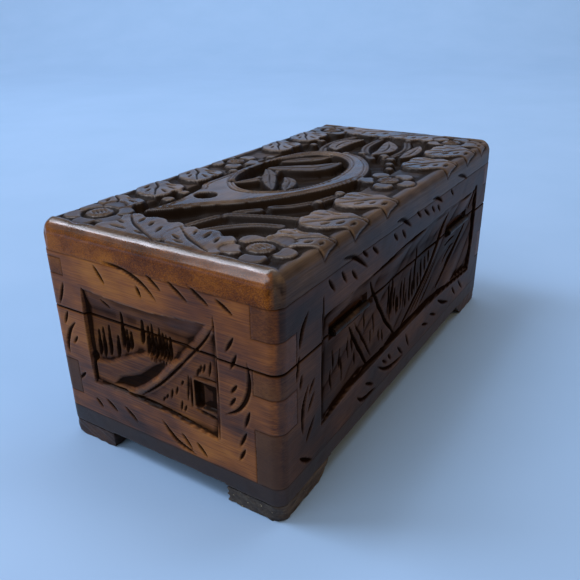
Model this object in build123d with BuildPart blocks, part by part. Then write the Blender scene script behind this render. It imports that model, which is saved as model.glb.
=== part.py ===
"""Hand crank music box: a carved, finger-jointed wooden casket with a hinged lid.

The casket stands on four bracket feet. A comb-and-cylinder movement is screwed to the base at the
left end, under a clear window, and a crank outside the left end board turns it through a worm.

Frame: +Z up, +X to the right end, -Y to the front, and the origin on the table plane under the
middle of the whole outline, crank and hinge barrels included. The casket is drawn about its own
middle and every finished piece is moved into that frame. All sizes are in millimetres.
"""

import os
from math import atan2, cos, degrees, pi, radians, sin

from build123d import *

# ---------------------------------------------------------------- casket
LENGTH = 254.0
WIDTH = 125.0
FOOT_HEIGHT = 8.0
BASE_THICKNESS = 9.0
WALL_TOP = 70.6
RAIL_BOTTOM = 71.0
PANEL_BOTTOM = 98.0
TOTAL_HEIGHT = 112.0
BOARD_THICKNESS = 12.0
CORNER_RADIUS = 5.5
BULLNOSE_RADIUS = 6.0
EDGE_BREAK = 0.5
BASE_TOP = FOOT_HEIGHT + BASE_THICKNESS

HALF_LENGTH = LENGTH / 2
HALF_WIDTH = WIDTH / 2
INNER_X = HALF_LENGTH - BOARD_THICKNESS
INNER_Y = HALF_WIDTH - BOARD_THICKNESS

# Fingers: at each corner, the bands of the board's height that the long board fills.
WALL_FINGERS = {
    ("back", "right"): [(0.0, 0.5), (0.8, 1.0)],
    ("front", "right"): [(1 / 6, 0.5)],
    ("back", "left"): [(0.0, 1 / 3), (2 / 3, 1.0)],
    ("front", "left"): [(0.0, 1 / 3), (2 / 3, 1.0)],
}
RAIL_FINGERS = {
    ("back", "right"): [(0.5, 1.0)],
    ("front", "right"): [(0.6, 0.9)],
    ("back", "left"): [(0.0, 0.5)],
    ("front", "left"): [(0.0, 0.5)],
}

# Sunk picture panels: half length or half width, lowest and highest edge, depth.
SCENE_DEPTH = 2.0
SCENE_LOW = 34.0
SCENE_HIGH = 84.0
SCENE_HALF_LONG = 97.0
SCENE_HALF_END = 36.0

# Lid relief
GROUND_DEPTH = 6.0
GROUND_SIZE = (200.0, 72.0)
RING_OUTER = (50.0, 31.0)
RING_BAND = 9.0
FLOWER_SPOTS = [(x, y) for x in (-109.0, -3.0, 109.0) for y in (-44.0, 44.0)]
PETAL_RADIUS = 6.0
PETAL_CIRCLE = 9.0

# Feet
FOOT_LONG = 41.0
FOOT_SHORT = 29.0
FOOT_THICKNESS = 14.0
FOOT_SLOPE = 10.0

# ---------------------------------------------------------------- hinges
HINGE_X = 70.0
HINGE_LENGTH = 32.0
HINGE_AXIS_Y = HALF_WIDTH - 0.5
HINGE_AXIS_Z = (WALL_TOP + RAIL_BOTTOM) / 2
KNUCKLE_RADIUS = 1.7
HINGE_PIN_RADIUS = 0.8
HINGE_BORE_RADIUS = 0.85
LEAF_THICKNESS = 0.8
LEAF_FRONT_Y = 53.0
LEAF_BACK_Y = HINGE_AXIS_Y - KNUCKLE_RADIUS - 0.1
KNUCKLE_MIDDLE = 10.8
KNUCKLE_GAP = 0.2
MORTISE_LENGTH = HINGE_LENGTH + 2.4
MORTISE_FRONT_Y = 59.4
MORTISE_TOP = 75.5
MORTISE_BOTTOM = 68.2
HINGE_SCREW_Y = 56.6
HINGE_SCREW_SPREAD = 9.5
HINGE_SCREW_RADIUS = 0.9
HINGE_SCREW_LENGTH = 9.0
HINGE_SCREW_HEAD = 1.6

# ---------------------------------------------------------------- movement
MODULE = 0.6
WHEEL_TEETH = 24
WHEEL_RADIUS = MODULE * WHEEL_TEETH / 2
WORM_RADIUS = 3.0
WORM_PITCH = pi * MODULE
WORM_LENGTH = 8.0
ADDENDUM = 0.45
WHEEL_DEDENDUM = 0.65
WORM_DEDENDUM = 0.55
TOOTH_ROOT_HALF = 0.5
TOOTH_TIP_HALF = 0.2
THREAD_ROOT_HALF = 0.45
THREAD_TIP_HALF = 0.2
THREAD_SUNK = 0.15

CYLINDER_X = -88.0
SHAFT_Y = 0.0
CYLINDER_Y = SHAFT_Y - 13.5
CYLINDER_Z = 31.5
SHAFT_Z = CYLINDER_Z + WHEEL_RADIUS + WORM_RADIUS
RUNNING = 0.05

CYLINDER_RADIUS = 6.5
CYLINDER_WALL = 0.8
CYLINDER_LENGTH = 21.0
CAP_THICKNESS = 1.6
ARBOR_RADIUS = 1.2
WHEEL_WIDTH = 3.0
WHEEL_HUB_RADIUS = 3.0
PIN_REACH = 0.9
PIN_RADIUS = 0.22
PIN_SUNK = 0.4
NOTES = 18
NOTE_PITCH = 1.1
PINS_PER_NOTE = 5
GOLDEN_ANGLE = 137.5

COMB_CLEARANCE = 0.2
COMB_THICKNESS = 1.0
COMB_SLOT = 0.35
COMB_TOOTH_SHORT = 11.0
COMB_TOOTH_LONG = 17.0
COMB_BACK = 31.0
COMB_BODY_FRONT = 19.0
COMB_HALF_WIDTH = NOTES * NOTE_PITCH / 2 + 0.3
COMB_TIP = CYLINDER_RADIUS + PIN_REACH + COMB_CLEARANCE

BEDPLATE_THICKNESS = 2.5
BEDPLATE_TOP = BASE_TOP + BEDPLATE_THICKNESS
BEDPLATE_X = (CYLINDER_X - 17.0, CYLINDER_X + 34.0)
BEDPLATE_Y = (CYLINDER_Y - 20.0, CYLINDER_Y + 24.0)
BRACKET_THICKNESS = 2.0
BRACKET_FOOT = 6.5
M2_RADIUS = 1.0
M2_HEAD_RADIUS = 1.9
M2_HEAD_HEIGHT = 1.3
MOUNT_SCREW_RADIUS = 1.4
MOUNT_SCREW_HEAD = 2.8
SCREW_CLEARANCE = 0.05

# ---------------------------------------------------------------- crank
SHAFT_RADIUS = 1.5
BUSH_RADIUS = 4.0
BUSH_PROUD = 0.6
BUSH_FLANGE_RADIUS = 7.0
BUSH_FLANGE = 1.2
CRANK_RADIUS = 24.0
HUB_RADIUS = 4.2
HUB_LENGTH = 6.0
ARM_THICKNESS = 2.2
ARM_WIDTH = 6.5
KNOB_LENGTH = 13.0
KNOB_RADIUS = 5.2
KNOB_PIN_RADIUS = 1.5
KNOB_PIN_HEAD = 2.6
KNOB_PIN_HEAD_LENGTH = 1.2
BUSH_FACE_X = -HALF_LENGTH - BUSH_FLANGE
HUB_X = BUSH_FACE_X - 0.6
ARM_X = HUB_X - HUB_LENGTH
KNOB_X = ARM_X - 0.5
KNOB_PIN_END_X = KNOB_X - KNOB_LENGTH - 0.4
SHAFT_END_X = CYLINDER_X + 13.0

# ---------------------------------------------------------------- inner fittings
PARTITION_X = -46.0
PARTITION_THICKNESS = 5.0
PARTITION_TOP = 62.0
CLEAT_SIZE = (6.0, 7.0)
WINDOW_TOP = 58.0
WINDOW_THICKNESS = 2.0
WINDOW_PLAY = 0.3
WINDOW_SCREW_INSET = 7.0

os.makedirs("parts", exist_ok=True)


# The outline reaches past the casket by the crank on the left and the hinge barrels at the back.
OUTLINE_LEFT = KNOB_PIN_END_X - KNOB_PIN_HEAD_LENGTH
OUTLINE_BACK = HINGE_AXIS_Y + KNUCKLE_RADIUS
CASE_CENTRE = (-(OUTLINE_LEFT + HALF_LENGTH) / 2, -(OUTLINE_BACK - HALF_WIDTH) / 2, 0)


def save(name, part):
    """Moves a finished piece into the shared frame, labels it and writes its STEP file."""
    placed = part.moved(Location(CASE_CENTRE))
    placed.label = name
    export_step(placed, f"parts/{name}.step")


# ================================================================ frames of boards
def side_slab(side):
    """Centre and size in plan of the board on one side, over the whole corner blocks."""
    if side in ("front", "back"):
        y = HALF_WIDTH - BOARD_THICKNESS / 2
        return (0, y if side == "back" else -y), (LENGTH, BOARD_THICKNESS)
    x = HALF_LENGTH - BOARD_THICKNESS / 2
    return (x if side == "right" else -x, 0), (BOARD_THICKNESS, WIDTH)


def corner_bands(side, fingers):
    """Where a board gives way to its neighbours: (corner centre, low share, high share)."""
    cuts = []
    for (long_side, end_side), bands in fingers.items():
        if side not in (long_side, end_side):
            continue
        x = (HALF_LENGTH - BOARD_THICKNESS / 2) * (1 if end_side == "right" else -1)
        y = (HALF_WIDTH - BOARD_THICKNESS / 2) * (1 if long_side == "back" else -1)
        if side == end_side:
            cuts += [((x, y), low, high) for low, high in bands]
            continue
        edges = [0.0, *[share for band in bands for share in band], 1.0]
        gaps = zip(edges[0::2], edges[1::2])
        cuts += [((x, y), low, high) for low, high in gaps if high > low]
    return cuts


def frame_board(side, low, high, fingers, scene):
    """A board of a frame: rounded outer corners, fingers at both ends and a sunk picture panel."""
    centre, size = side_slab(side)
    height = high - low
    with BuildPart() as board:
        with BuildSketch(Plane.XY.offset(low)):
            with Locations(centre):
                Rectangle(*size)
        extrude(amount=height)
        for spot, low_share, high_share in corner_bands(side, fingers):
            with BuildSketch(Plane.XY.offset(low + low_share * height)):
                with Locations(spot):
                    Rectangle(BOARD_THICKNESS, BOARD_THICKNESS)
            extrude(amount=(high_share - low_share) * height, mode=Mode.SUBTRACT)
        with BuildSketch(Plane.XY.offset(low)):
            RectangleRounded(LENGTH, WIDTH, CORNER_RADIUS)
        extrude(amount=height, mode=Mode.INTERSECT)
        scene_low, scene_high = scene
        scene_centre = (scene_low + scene_high) / 2
        long_board = side in ("front", "back")
        half = SCENE_HALF_LONG if long_board else SCENE_HALF_END
        x, y = centre
        with Locations((0 if long_board else x, y if long_board else 0, scene_centre)):
            with Locations(scene_offset(side)):
                Box(
                    2 * half if long_board else SCENE_DEPTH,
                    SCENE_DEPTH if long_board else 2 * half,
                    scene_high - scene_low,
                    mode=Mode.SUBTRACT,
                )
    return board


def scene_offset(side):
    """From a board's middle plane out to the middle of its sunk panel."""
    reach = (BOARD_THICKNESS - SCENE_DEPTH) / 2
    return {
        "front": (0, -reach, 0),
        "back": (0, reach, 0),
        "right": (reach, 0, 0),
        "left": (-reach, 0, 0),
    }[side]


def break_hinge_edge(low, high):
    """Eases the long edge at the back of the parting line, so that the lid can swing past upright.

    low is the height at the outer face, high the height of the parting face itself.
    """
    reach = HALF_WIDTH + EDGE_BREAK
    with BuildSketch(Plane.YZ.offset(-LENGTH)) as wedge:
        with BuildLine():
            Polyline(
                (HALF_WIDTH - EDGE_BREAK, high),
                (reach, high),
                (reach, 2 * low - high),
                close=True,
            )
        make_face()
    extrude(wedge.sketch, amount=2 * LENGTH, mode=Mode.SUBTRACT)


walls = {}
rails = {}
for side in ("front", "back", "right", "left"):
    walls[side] = frame_board(side, BASE_TOP, WALL_TOP, WALL_FINGERS, (SCENE_LOW, WALL_TOP))
    rails[side] = frame_board(side, RAIL_BOTTOM, PANEL_BOTTOM, RAIL_FINGERS, (RAIL_BOTTOM, SCENE_HIGH))


def hinge_seat(low, high, leaf_low, leaf_high, drill_z, drill_down):
    """Cuts both hinge mortises: the open pocket for the barrel and the seat and pilots of a leaf."""
    for x in (-HINGE_X, HINGE_X):
        depth = HALF_WIDTH - MORTISE_FRONT_Y
        with Locations((x, HALF_WIDTH - depth / 2, (low + high) / 2)):
            Box(MORTISE_LENGTH, depth, high - low, mode=Mode.SUBTRACT)
        leaf = HALF_WIDTH - LEAF_FRONT_Y
        with Locations((x, HALF_WIDTH - leaf / 2, (leaf_low + leaf_high) / 2)):
            Box(HINGE_LENGTH + 0.2, leaf + 0.2, leaf_high - leaf_low, mode=Mode.SUBTRACT)
        normal = (0, 0, 1) if drill_down else (0, 0, -1)
        for step in (-HINGE_SCREW_SPREAD, HINGE_SCREW_SPREAD):
            with Locations(Plane((x + step, HINGE_SCREW_Y, drill_z), z_dir=normal)):
                Hole(HINGE_SCREW_RADIUS + SCREW_CLEARANCE, depth=HINGE_SCREW_LENGTH + 0.5)


# The back wall and the back rail, with the picture panel's back edge eased and the hinges let in.
with BuildPart() as back_board:
    add(walls["back"].part)
    break_hinge_edge(WALL_TOP - EDGE_BREAK, WALL_TOP)
    hinge_seat(MORTISE_BOTTOM, WALL_TOP, WALL_TOP - LEAF_THICKNESS, WALL_TOP, WALL_TOP, True)
with BuildPart() as lid_back_rail:
    add(rails["back"].part)
    break_hinge_edge(RAIL_BOTTOM + EDGE_BREAK, RAIL_BOTTOM)
    hinge_seat(RAIL_BOTTOM, MORTISE_TOP, RAIL_BOTTOM, RAIL_BOTTOM + LEAF_THICKNESS, RAIL_BOTTOM, False)

# The left end board takes the crank's bush.
with BuildPart() as left_end_board:
    add(walls["left"].part)
    with Locations(Plane((-HALF_LENGTH, SHAFT_Y, SHAFT_Z), z_dir=(-1, 0, 0))):
        Hole(BUSH_RADIUS, depth=BOARD_THICKNESS)
        with BuildSketch(Plane((-HALF_LENGTH, SHAFT_Y, SHAFT_Z), z_dir=(-1, 0, 0))):
            Circle(BUSH_FLANGE_RADIUS + 3.0)
            Circle(BUSH_RADIUS, mode=Mode.SUBTRACT)
        extrude(amount=-SCENE_DEPTH)

# Where an end rail owns the foot of a back corner, its edge is eased with the long rail's.
with BuildPart() as lid_right_rail:
    add(rails["right"].part)
    break_hinge_edge(RAIL_BOTTOM + EDGE_BREAK, RAIL_BOTTOM)

save("front_board", walls["front"].part)
save("back_board", back_board.part)
save("right_end_board", walls["right"].part)
save("left_end_board", left_end_board.part)
save("lid_front_rail", rails["front"].part)
save("lid_back_rail", lid_back_rail.part)
save("lid_right_rail", lid_right_rail.part)
save("lid_left_rail", rails["left"].part)

# ================================================================ base and feet
MOUNT_SCREW_SPOTS = [
    (BEDPLATE_X[0] + 4.0, BEDPLATE_Y[0] + 4.0),
    (BEDPLATE_X[0] + 4.0, BEDPLATE_Y[1] - 4.0),
    (BEDPLATE_X[1] - 4.0, BEDPLATE_Y[0] + 4.0),
    (BEDPLATE_X[1] - 4.0, BEDPLATE_Y[1] - 4.0),
]

with BuildPart() as base_panel:
    with BuildSketch(Plane.XY.offset(FOOT_HEIGHT)):
        RectangleRounded(LENGTH, WIDTH, CORNER_RADIUS)
    extrude(amount=BASE_THICKNESS)
    with Locations(Plane((0, 0, FOOT_HEIGHT), z_dir=(0, 0, -1), x_dir=(1, 0, 0))):
        with Locations([(x, -y) for x, y in MOUNT_SCREW_SPOTS]):
            CounterSinkHole(MOUNT_SCREW_RADIUS + 0.2, MOUNT_SCREW_HEAD + 0.2, depth=BASE_THICKNESS)
save("base_panel", base_panel.part)


def bracket_foot(x_sign, y_sign):
    """An L-shaped foot under one corner. Its long leg ends in a slope, its short leg square."""
    with BuildPart() as foot:
        with BuildSketch():
            with Locations((HALF_LENGTH - FOOT_LONG / 2, HALF_WIDTH - FOOT_THICKNESS / 2)):
                Rectangle(FOOT_LONG, FOOT_THICKNESS)
            with Locations((HALF_LENGTH - FOOT_THICKNESS / 2, HALF_WIDTH - FOOT_SHORT / 2)):
                Rectangle(FOOT_THICKNESS, FOOT_SHORT)
        extrude(amount=FOOT_HEIGHT)
        with BuildSketch():
            RectangleRounded(LENGTH, WIDTH, CORNER_RADIUS)
        extrude(amount=FOOT_HEIGHT, mode=Mode.INTERSECT)
        inner_x = HALF_LENGTH - FOOT_LONG
        with BuildSketch(Plane.XZ.offset(-HALF_WIDTH)):
            with BuildLine():
                Polyline((inner_x, 0), (inner_x + FOOT_SLOPE, 0), (inner_x, FOOT_HEIGHT), close=True)
            make_face()
        extrude(amount=2 * FOOT_THICKNESS, both=True, mode=Mode.SUBTRACT)
        if x_sign < 0:
            mirror(about=Plane.YZ, mode=Mode.REPLACE)
        if y_sign < 0:
            mirror(about=Plane.XZ, mode=Mode.REPLACE)
    return foot


for x_name, x_sign in (("left", -1), ("right", 1)):
    for y_name, y_sign in (("front", -1), ("back", 1)):
        save(f"foot_{y_name}_{x_name}", bracket_foot(x_sign, y_sign).part)

# ================================================================ carved lid panel
with BuildPart() as lid_panel:
    with BuildSketch(Plane.XY.offset(PANEL_BOTTOM)):
        RectangleRounded(LENGTH, WIDTH, BULLNOSE_RADIUS + 0.5)
    extrude(amount=TOTAL_HEIGHT - PANEL_BOTTOM)
    fillet(lid_panel.faces().sort_by(Axis.Z)[-1].edges(), BULLNOSE_RADIUS)
    with BuildSketch(Plane.XY.offset(TOTAL_HEIGHT)):
        RectangleRounded(*GROUND_SIZE, 8.0)
        Ellipse(*RING_OUTER, mode=Mode.SUBTRACT)
        Ellipse(RING_OUTER[0] - RING_BAND, RING_OUTER[1] - RING_BAND)
        for spot in FLOWER_SPOTS:
            with Locations(spot):
                with PolarLocations(PETAL_CIRCLE, 5):
                    Circle(PETAL_RADIUS, mode=Mode.SUBTRACT)
    extrude(amount=-GROUND_DEPTH, mode=Mode.SUBTRACT)
save("lid_panel", lid_panel.part)


# ================================================================ hinges
def hinge_leaf(x, outer_knuckles, plate_low):
    """One leaf with its knuckles: the case leaf has the two outer ones, the lid leaf the middle one."""
    side_length = (HINGE_LENGTH - KNUCKLE_MIDDLE) / 2 - KNUCKLE_GAP
    side_step = (HINGE_LENGTH - side_length) / 2
    spans = [(-side_step, side_length), (side_step, side_length)]
    spans = spans if outer_knuckles else [(0.0, KNUCKLE_MIDDLE)]
    with BuildPart() as leaf:
        plate_depth = LEAF_BACK_Y - LEAF_FRONT_Y
        plate_z = plate_low + LEAF_THICKNESS / 2
        with Locations((x, LEAF_FRONT_Y + plate_depth / 2, plate_z)):
            Box(HINGE_LENGTH, plate_depth, LEAF_THICKNESS)
        tab_depth = HINGE_AXIS_Y - LEAF_BACK_Y
        for step, length in spans:
            with Locations((x + step, LEAF_BACK_Y + tab_depth / 2, plate_z)):
                Box(length, tab_depth, LEAF_THICKNESS)
            with Locations(Plane((x + step, HINGE_AXIS_Y, HINGE_AXIS_Z), z_dir=(1, 0, 0))):
                Cylinder(KNUCKLE_RADIUS, length)
        with Locations(Plane((x, HINGE_AXIS_Y, HINGE_AXIS_Z), z_dir=(1, 0, 0))):
            Cylinder(HINGE_BORE_RADIUS, HINGE_LENGTH + 1, mode=Mode.SUBTRACT)
        head_z = plate_low + (LEAF_THICKNESS if outer_knuckles else 0)
        normal = (0, 0, 1 if outer_knuckles else -1)
        for step in (-HINGE_SCREW_SPREAD, HINGE_SCREW_SPREAD):
            with Locations(Plane((x + step, HINGE_SCREW_Y, head_z), z_dir=normal)):
                CounterSinkHole(HINGE_SCREW_RADIUS + 0.1, HINGE_SCREW_HEAD + 0.1, depth=LEAF_THICKNESS + 1)
    return leaf


def countersunk_screw(spot, normal, radius, head_radius, length):
    """Adds a wood screw with its flat head at spot, pointing against normal, to the open part."""
    cone = head_radius - radius
    with BuildSketch(Plane(spot, x_dir=(1, 0, 0), z_dir=(0, -normal[2], 0))) as profile:
        with BuildLine():
            Polyline(
                (0, -0.05),
                (head_radius, -0.05),
                (radius, -0.05 - cone),
                (radius, -length + radius),
                (0, -length),
                close=True,
            )
        make_face()
    revolve(profile.sketch, axis=Axis(spot, normal))


def hinge_screws(surface_z, normal):
    """All four screws of one side's leaves."""
    with BuildPart() as screws:
        for x in (-HINGE_X, HINGE_X):
            for step in (-HINGE_SCREW_SPREAD, HINGE_SCREW_SPREAD):
                spot = (x + step, HINGE_SCREW_Y, surface_z)
                countersunk_screw(spot, normal, HINGE_SCREW_RADIUS, HINGE_SCREW_HEAD, HINGE_SCREW_LENGTH)
    return screws


for name, x in (("left", -HINGE_X), ("right", HINGE_X)):
    save(f"hinge_{name}_case_leaf", hinge_leaf(x, True, WALL_TOP - LEAF_THICKNESS).part)
    save(f"hinge_{name}_lid_leaf", hinge_leaf(x, False, RAIL_BOTTOM).part)
    with BuildPart() as hinge_pin:
        with Locations(Plane((x, HINGE_AXIS_Y, HINGE_AXIS_Z), z_dir=(1, 0, 0))):
            Cylinder(HINGE_PIN_RADIUS, HINGE_LENGTH)
            with Locations((0, 0, HINGE_LENGTH / 2 + 0.3), (0, 0, -HINGE_LENGTH / 2 - 0.3)):
                Cylinder(HINGE_PIN_RADIUS + 0.5, 0.5)
            with Locations((0, 0, HINGE_LENGTH / 2), (0, 0, -HINGE_LENGTH / 2)):
                Cylinder(HINGE_PIN_RADIUS, 0.4)
    save(f"hinge_{name}_pin", hinge_pin.part)
save("hinge_case_screws", hinge_screws(WALL_TOP, (0, 0, 1)).part)
save("hinge_lid_screws", hinge_screws(RAIL_BOTTOM, (0, 0, -1)).part)

# ================================================================ inside of the casket
with BuildPart() as partition:
    with Locations((PARTITION_X, 0, (BASE_TOP + PARTITION_TOP) / 2)):
        Box(PARTITION_THICKNESS, 2 * INNER_Y, PARTITION_TOP - BASE_TOP)
save("partition", partition.part)

BAY_LEFT = -INNER_X
BAY_RIGHT = PARTITION_X - PARTITION_THICKNESS / 2
BAY_MIDDLE = (BAY_LEFT + BAY_RIGHT) / 2
BAY_LENGTH = BAY_RIGHT - BAY_LEFT
WINDOW_BOTTOM = WINDOW_TOP - WINDOW_THICKNESS
CLEAT_Y = INNER_Y - CLEAT_SIZE[0] / 2
WINDOW_SCREW_SPOTS = [
    (BAY_MIDDLE + sx * (BAY_LENGTH / 2 - WINDOW_SCREW_INSET), sy * CLEAT_Y) for sx in (-1, 1) for sy in (-1, 1)
]

for name, sign in (("front", -1), ("back", 1)):
    with BuildPart() as cleat:
        with Locations((BAY_MIDDLE, sign * CLEAT_Y, WINDOW_BOTTOM - CLEAT_SIZE[1] / 2)):
            Box(BAY_LENGTH, CLEAT_SIZE[0], CLEAT_SIZE[1])
        for spot in WINDOW_SCREW_SPOTS:
            if spot[1] * sign > 0:
                with Locations((*spot, WINDOW_BOTTOM)):
                    Hole(M2_RADIUS + SCREW_CLEARANCE, depth=CLEAT_SIZE[1] - 1)
    save(f"window_cleat_{name}", cleat.part)

with BuildPart() as movement_window:
    with Locations((BAY_MIDDLE, 0, WINDOW_TOP - WINDOW_THICKNESS / 2)):
        Box(BAY_LENGTH - 2 * WINDOW_PLAY, 2 * (INNER_Y - WINDOW_PLAY), WINDOW_THICKNESS)
    for spot in WINDOW_SCREW_SPOTS:
        with Locations((*spot, WINDOW_TOP)):
            Hole(M2_RADIUS + 0.2, depth=WINDOW_THICKNESS)
save("movement_window", movement_window.part)


def pan_screw(x, y, top, length):
    """Adds a slotted pan-head screw, its head standing on the plane at top, to the open part."""
    with Locations((x, y, top + M2_HEAD_HEIGHT / 2)):
        Cylinder(M2_HEAD_RADIUS, M2_HEAD_HEIGHT)
    with Locations((x, y, top - length / 2)):
        Cylinder(M2_RADIUS, length)
    with Locations((x, y, top + M2_HEAD_HEIGHT)):
        Box(2 * M2_HEAD_RADIUS, 0.5, 1.0, mode=Mode.SUBTRACT)


with BuildPart() as window_screws:
    for spot in WINDOW_SCREW_SPOTS:
        pan_screw(*spot, WINDOW_TOP, 7.0)
save("window_screws", window_screws.part)

# ================================================================ movement: bedplate and brackets
ARBOR_BRACKET_Y = (CYLINDER_Y - 14.0, CYLINDER_Y + 18.0)
WORM_BRACKET_X = (CYLINDER_X - 10.0, CYLINDER_X + 10.0)
COMB_SCREW_SPOTS = [(CYLINDER_X + 25.5, CYLINDER_Y - 6.0), (CYLINDER_X + 25.5, CYLINDER_Y + 6.0)]
# Each bracket's foot turns away from the cylinder and takes one screw.
ARBOR_SCREW_SPOTS = [
    (CYLINDER_X, ARBOR_BRACKET_Y[0] - 4.2),
    (CYLINDER_X, ARBOR_BRACKET_Y[1] + 4.2),
]
WORM_SCREW_SPOTS = [
    (WORM_BRACKET_X[0] - 4.2, SHAFT_Y),
    (WORM_BRACKET_X[1] + 4.2, SHAFT_Y),
]
BRACKET_SCREW_SPOTS = ARBOR_SCREW_SPOTS + WORM_SCREW_SPOTS

with BuildPart() as bedplate:
    bed_length = BEDPLATE_X[1] - BEDPLATE_X[0]
    bed_width = BEDPLATE_Y[1] - BEDPLATE_Y[0]
    with BuildSketch(Plane.XY.offset(BASE_TOP)):
        with Locations((sum(BEDPLATE_X) / 2, sum(BEDPLATE_Y) / 2)):
            RectangleRounded(bed_length, bed_width, 3.0)
    extrude(amount=BEDPLATE_THICKNESS)
    with Locations([(x, y, BEDPLATE_TOP) for x, y in BRACKET_SCREW_SPOTS + COMB_SCREW_SPOTS]):
        Hole(M2_RADIUS + SCREW_CLEARANCE, depth=BEDPLATE_THICKNESS)
    with Locations([(x, y, BEDPLATE_TOP) for x, y in MOUNT_SCREW_SPOTS]):
        Hole(MOUNT_SCREW_RADIUS + SCREW_CLEARANCE, depth=BEDPLATE_THICKNESS)
save("bedplate", bedplate.part)


def bearing_bracket(x, y, width, bore_z, bore, outward):
    """A folded brass bracket: an upright ear with a round head and bore, and a screwed foot.

    outward is the unit step, along X or Y, from the ear to its foot.
    """
    along_x = outward[0] != 0
    ear = Plane((x, y, bore_z), z_dir=(1, 0, 0) if along_x else (0, 1, 0))
    shift_x, shift_y = outward[0] * BRACKET_FOOT / 2, outward[1] * BRACKET_FOOT / 2
    size_x = BRACKET_THICKNESS + BRACKET_FOOT if along_x else width
    size_y = width if along_x else BRACKET_THICKNESS + BRACKET_FOOT
    with BuildPart() as bracket:
        with Locations((x, y, (BEDPLATE_TOP + bore_z) / 2)):
            Box(
                BRACKET_THICKNESS if along_x else width,
                width if along_x else BRACKET_THICKNESS,
                bore_z - BEDPLATE_TOP,
            )
        with Locations(ear):
            Cylinder(width / 2, BRACKET_THICKNESS)
        with Locations((x + shift_x, y + shift_y, BEDPLATE_TOP + 0.75)):
            Box(size_x, size_y, 1.5)
        with Locations(ear):
            Cylinder(bore, 2 * BRACKET_THICKNESS, mode=Mode.SUBTRACT)
        with Locations((x + outward[0] * 4.2, y + outward[1] * 4.2, BEDPLATE_TOP + 1.5)):
            Hole(M2_RADIUS + SCREW_CLEARANCE, depth=1.5)
    return bracket


for name, y, sign in zip(("front", "back"), ARBOR_BRACKET_Y, (-1, 1)):
    ear = bearing_bracket(CYLINDER_X, y, 7.0, CYLINDER_Z, ARBOR_RADIUS + RUNNING, (0, sign))
    save(f"cylinder_bearing_{name}", ear.part)
for name, x, sign in zip(("outer", "inner"), WORM_BRACKET_X, (-1, 1)):
    ear = bearing_bracket(x, SHAFT_Y, 6.0, SHAFT_Z, SHAFT_RADIUS + RUNNING, (sign, 0))
    save(f"worm_bearing_{name}", ear.part)

with BuildPart() as bracket_screws:
    for spot in BRACKET_SCREW_SPOTS:
        pan_screw(*spot, BEDPLATE_TOP + 1.5, 3.5)
save("bracket_screws", bracket_screws.part)

with BuildPart() as movement_screws:
    for spot in MOUNT_SCREW_SPOTS:
        place = (*spot, FOOT_HEIGHT)
        countersunk_screw(place, (0, 0, -1), MOUNT_SCREW_RADIUS, MOUNT_SCREW_HEAD, BASE_THICKNESS + 2.4)
save("movement_screws", movement_screws.part)

# ================================================================ movement: comb
COMB_UNDER = CYLINDER_Z - COMB_THICKNESS / 2
with BuildPart() as comb_anvil:
    with Locations((CYLINDER_X + (COMB_BODY_FRONT + COMB_BACK) / 2, CYLINDER_Y, (BEDPLATE_TOP + COMB_UNDER) / 2)):
        Box(COMB_BACK - COMB_BODY_FRONT, 2 * COMB_HALF_WIDTH + 2, COMB_UNDER - BEDPLATE_TOP)
    with Locations([(x, y, COMB_UNDER) for x, y in COMB_SCREW_SPOTS]):
        Hole(M2_RADIUS + SCREW_CLEARANCE, depth=COMB_UNDER - BEDPLATE_TOP)
save("comb_anvil", comb_anvil.part)

with BuildPart() as comb:
    with BuildSketch(Plane.XY.offset(COMB_UNDER)):
        with Locations((CYLINDER_X + (COMB_TIP + COMB_BACK) / 2, CYLINDER_Y)):
            Rectangle(COMB_BACK - COMB_TIP, 2 * COMB_HALF_WIDTH)
        for note in range(NOTES + 1):
            reach = COMB_TOOTH_LONG + (COMB_TOOTH_SHORT - COMB_TOOTH_LONG) * note / NOTES
            if note in (0, NOTES):
                reach = COMB_TOOTH_SHORT - 1
            slot_y = CYLINDER_Y + (note - NOTES / 2) * NOTE_PITCH
            with Locations((CYLINDER_X + COMB_TIP + reach / 2 - 0.5, slot_y)):
                Rectangle(reach + 1, COMB_SLOT, mode=Mode.SUBTRACT)
    extrude(amount=COMB_THICKNESS)
    with Locations([(x, y, COMB_UNDER + COMB_THICKNESS) for x, y in COMB_SCREW_SPOTS]):
        Hole(M2_RADIUS + 0.2, depth=COMB_THICKNESS)
save("comb", comb.part)

with BuildPart() as comb_screws:
    for spot in COMB_SCREW_SPOTS:
        pan_screw(*spot, COMB_UNDER + COMB_THICKNESS, COMB_UNDER + COMB_THICKNESS - BASE_TOP - 0.5)
save("comb_screws", comb_screws.part)


# ================================================================ movement: cylinder
def across(y):
    """The plane at y whose normal is the cylinder's axis."""
    return Plane((CYLINDER_X, y, CYLINDER_Z), x_dir=(1, 0, 0), z_dir=(0, 1, 0))


with BuildPart() as cylinder_caps:
    for step in (-1, 1):
        with Locations(across(CYLINDER_Y + step * (CYLINDER_LENGTH - CAP_THICKNESS) / 2)):
            Cylinder(CYLINDER_RADIUS - CYLINDER_WALL, CAP_THICKNESS)
            Cylinder(ARBOR_RADIUS, CAP_THICKNESS, mode=Mode.SUBTRACT)
save("cylinder_caps", cylinder_caps.part)

with BuildPart() as cylinder_arbor:
    arbor_low, arbor_high = ARBOR_BRACKET_Y[0] - 1.6, ARBOR_BRACKET_Y[1] + 1.6
    with Locations(across((arbor_low + arbor_high) / 2)):
        Cylinder(ARBOR_RADIUS, arbor_high - arbor_low)
save("cylinder_arbor", cylinder_arbor.part)

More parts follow.
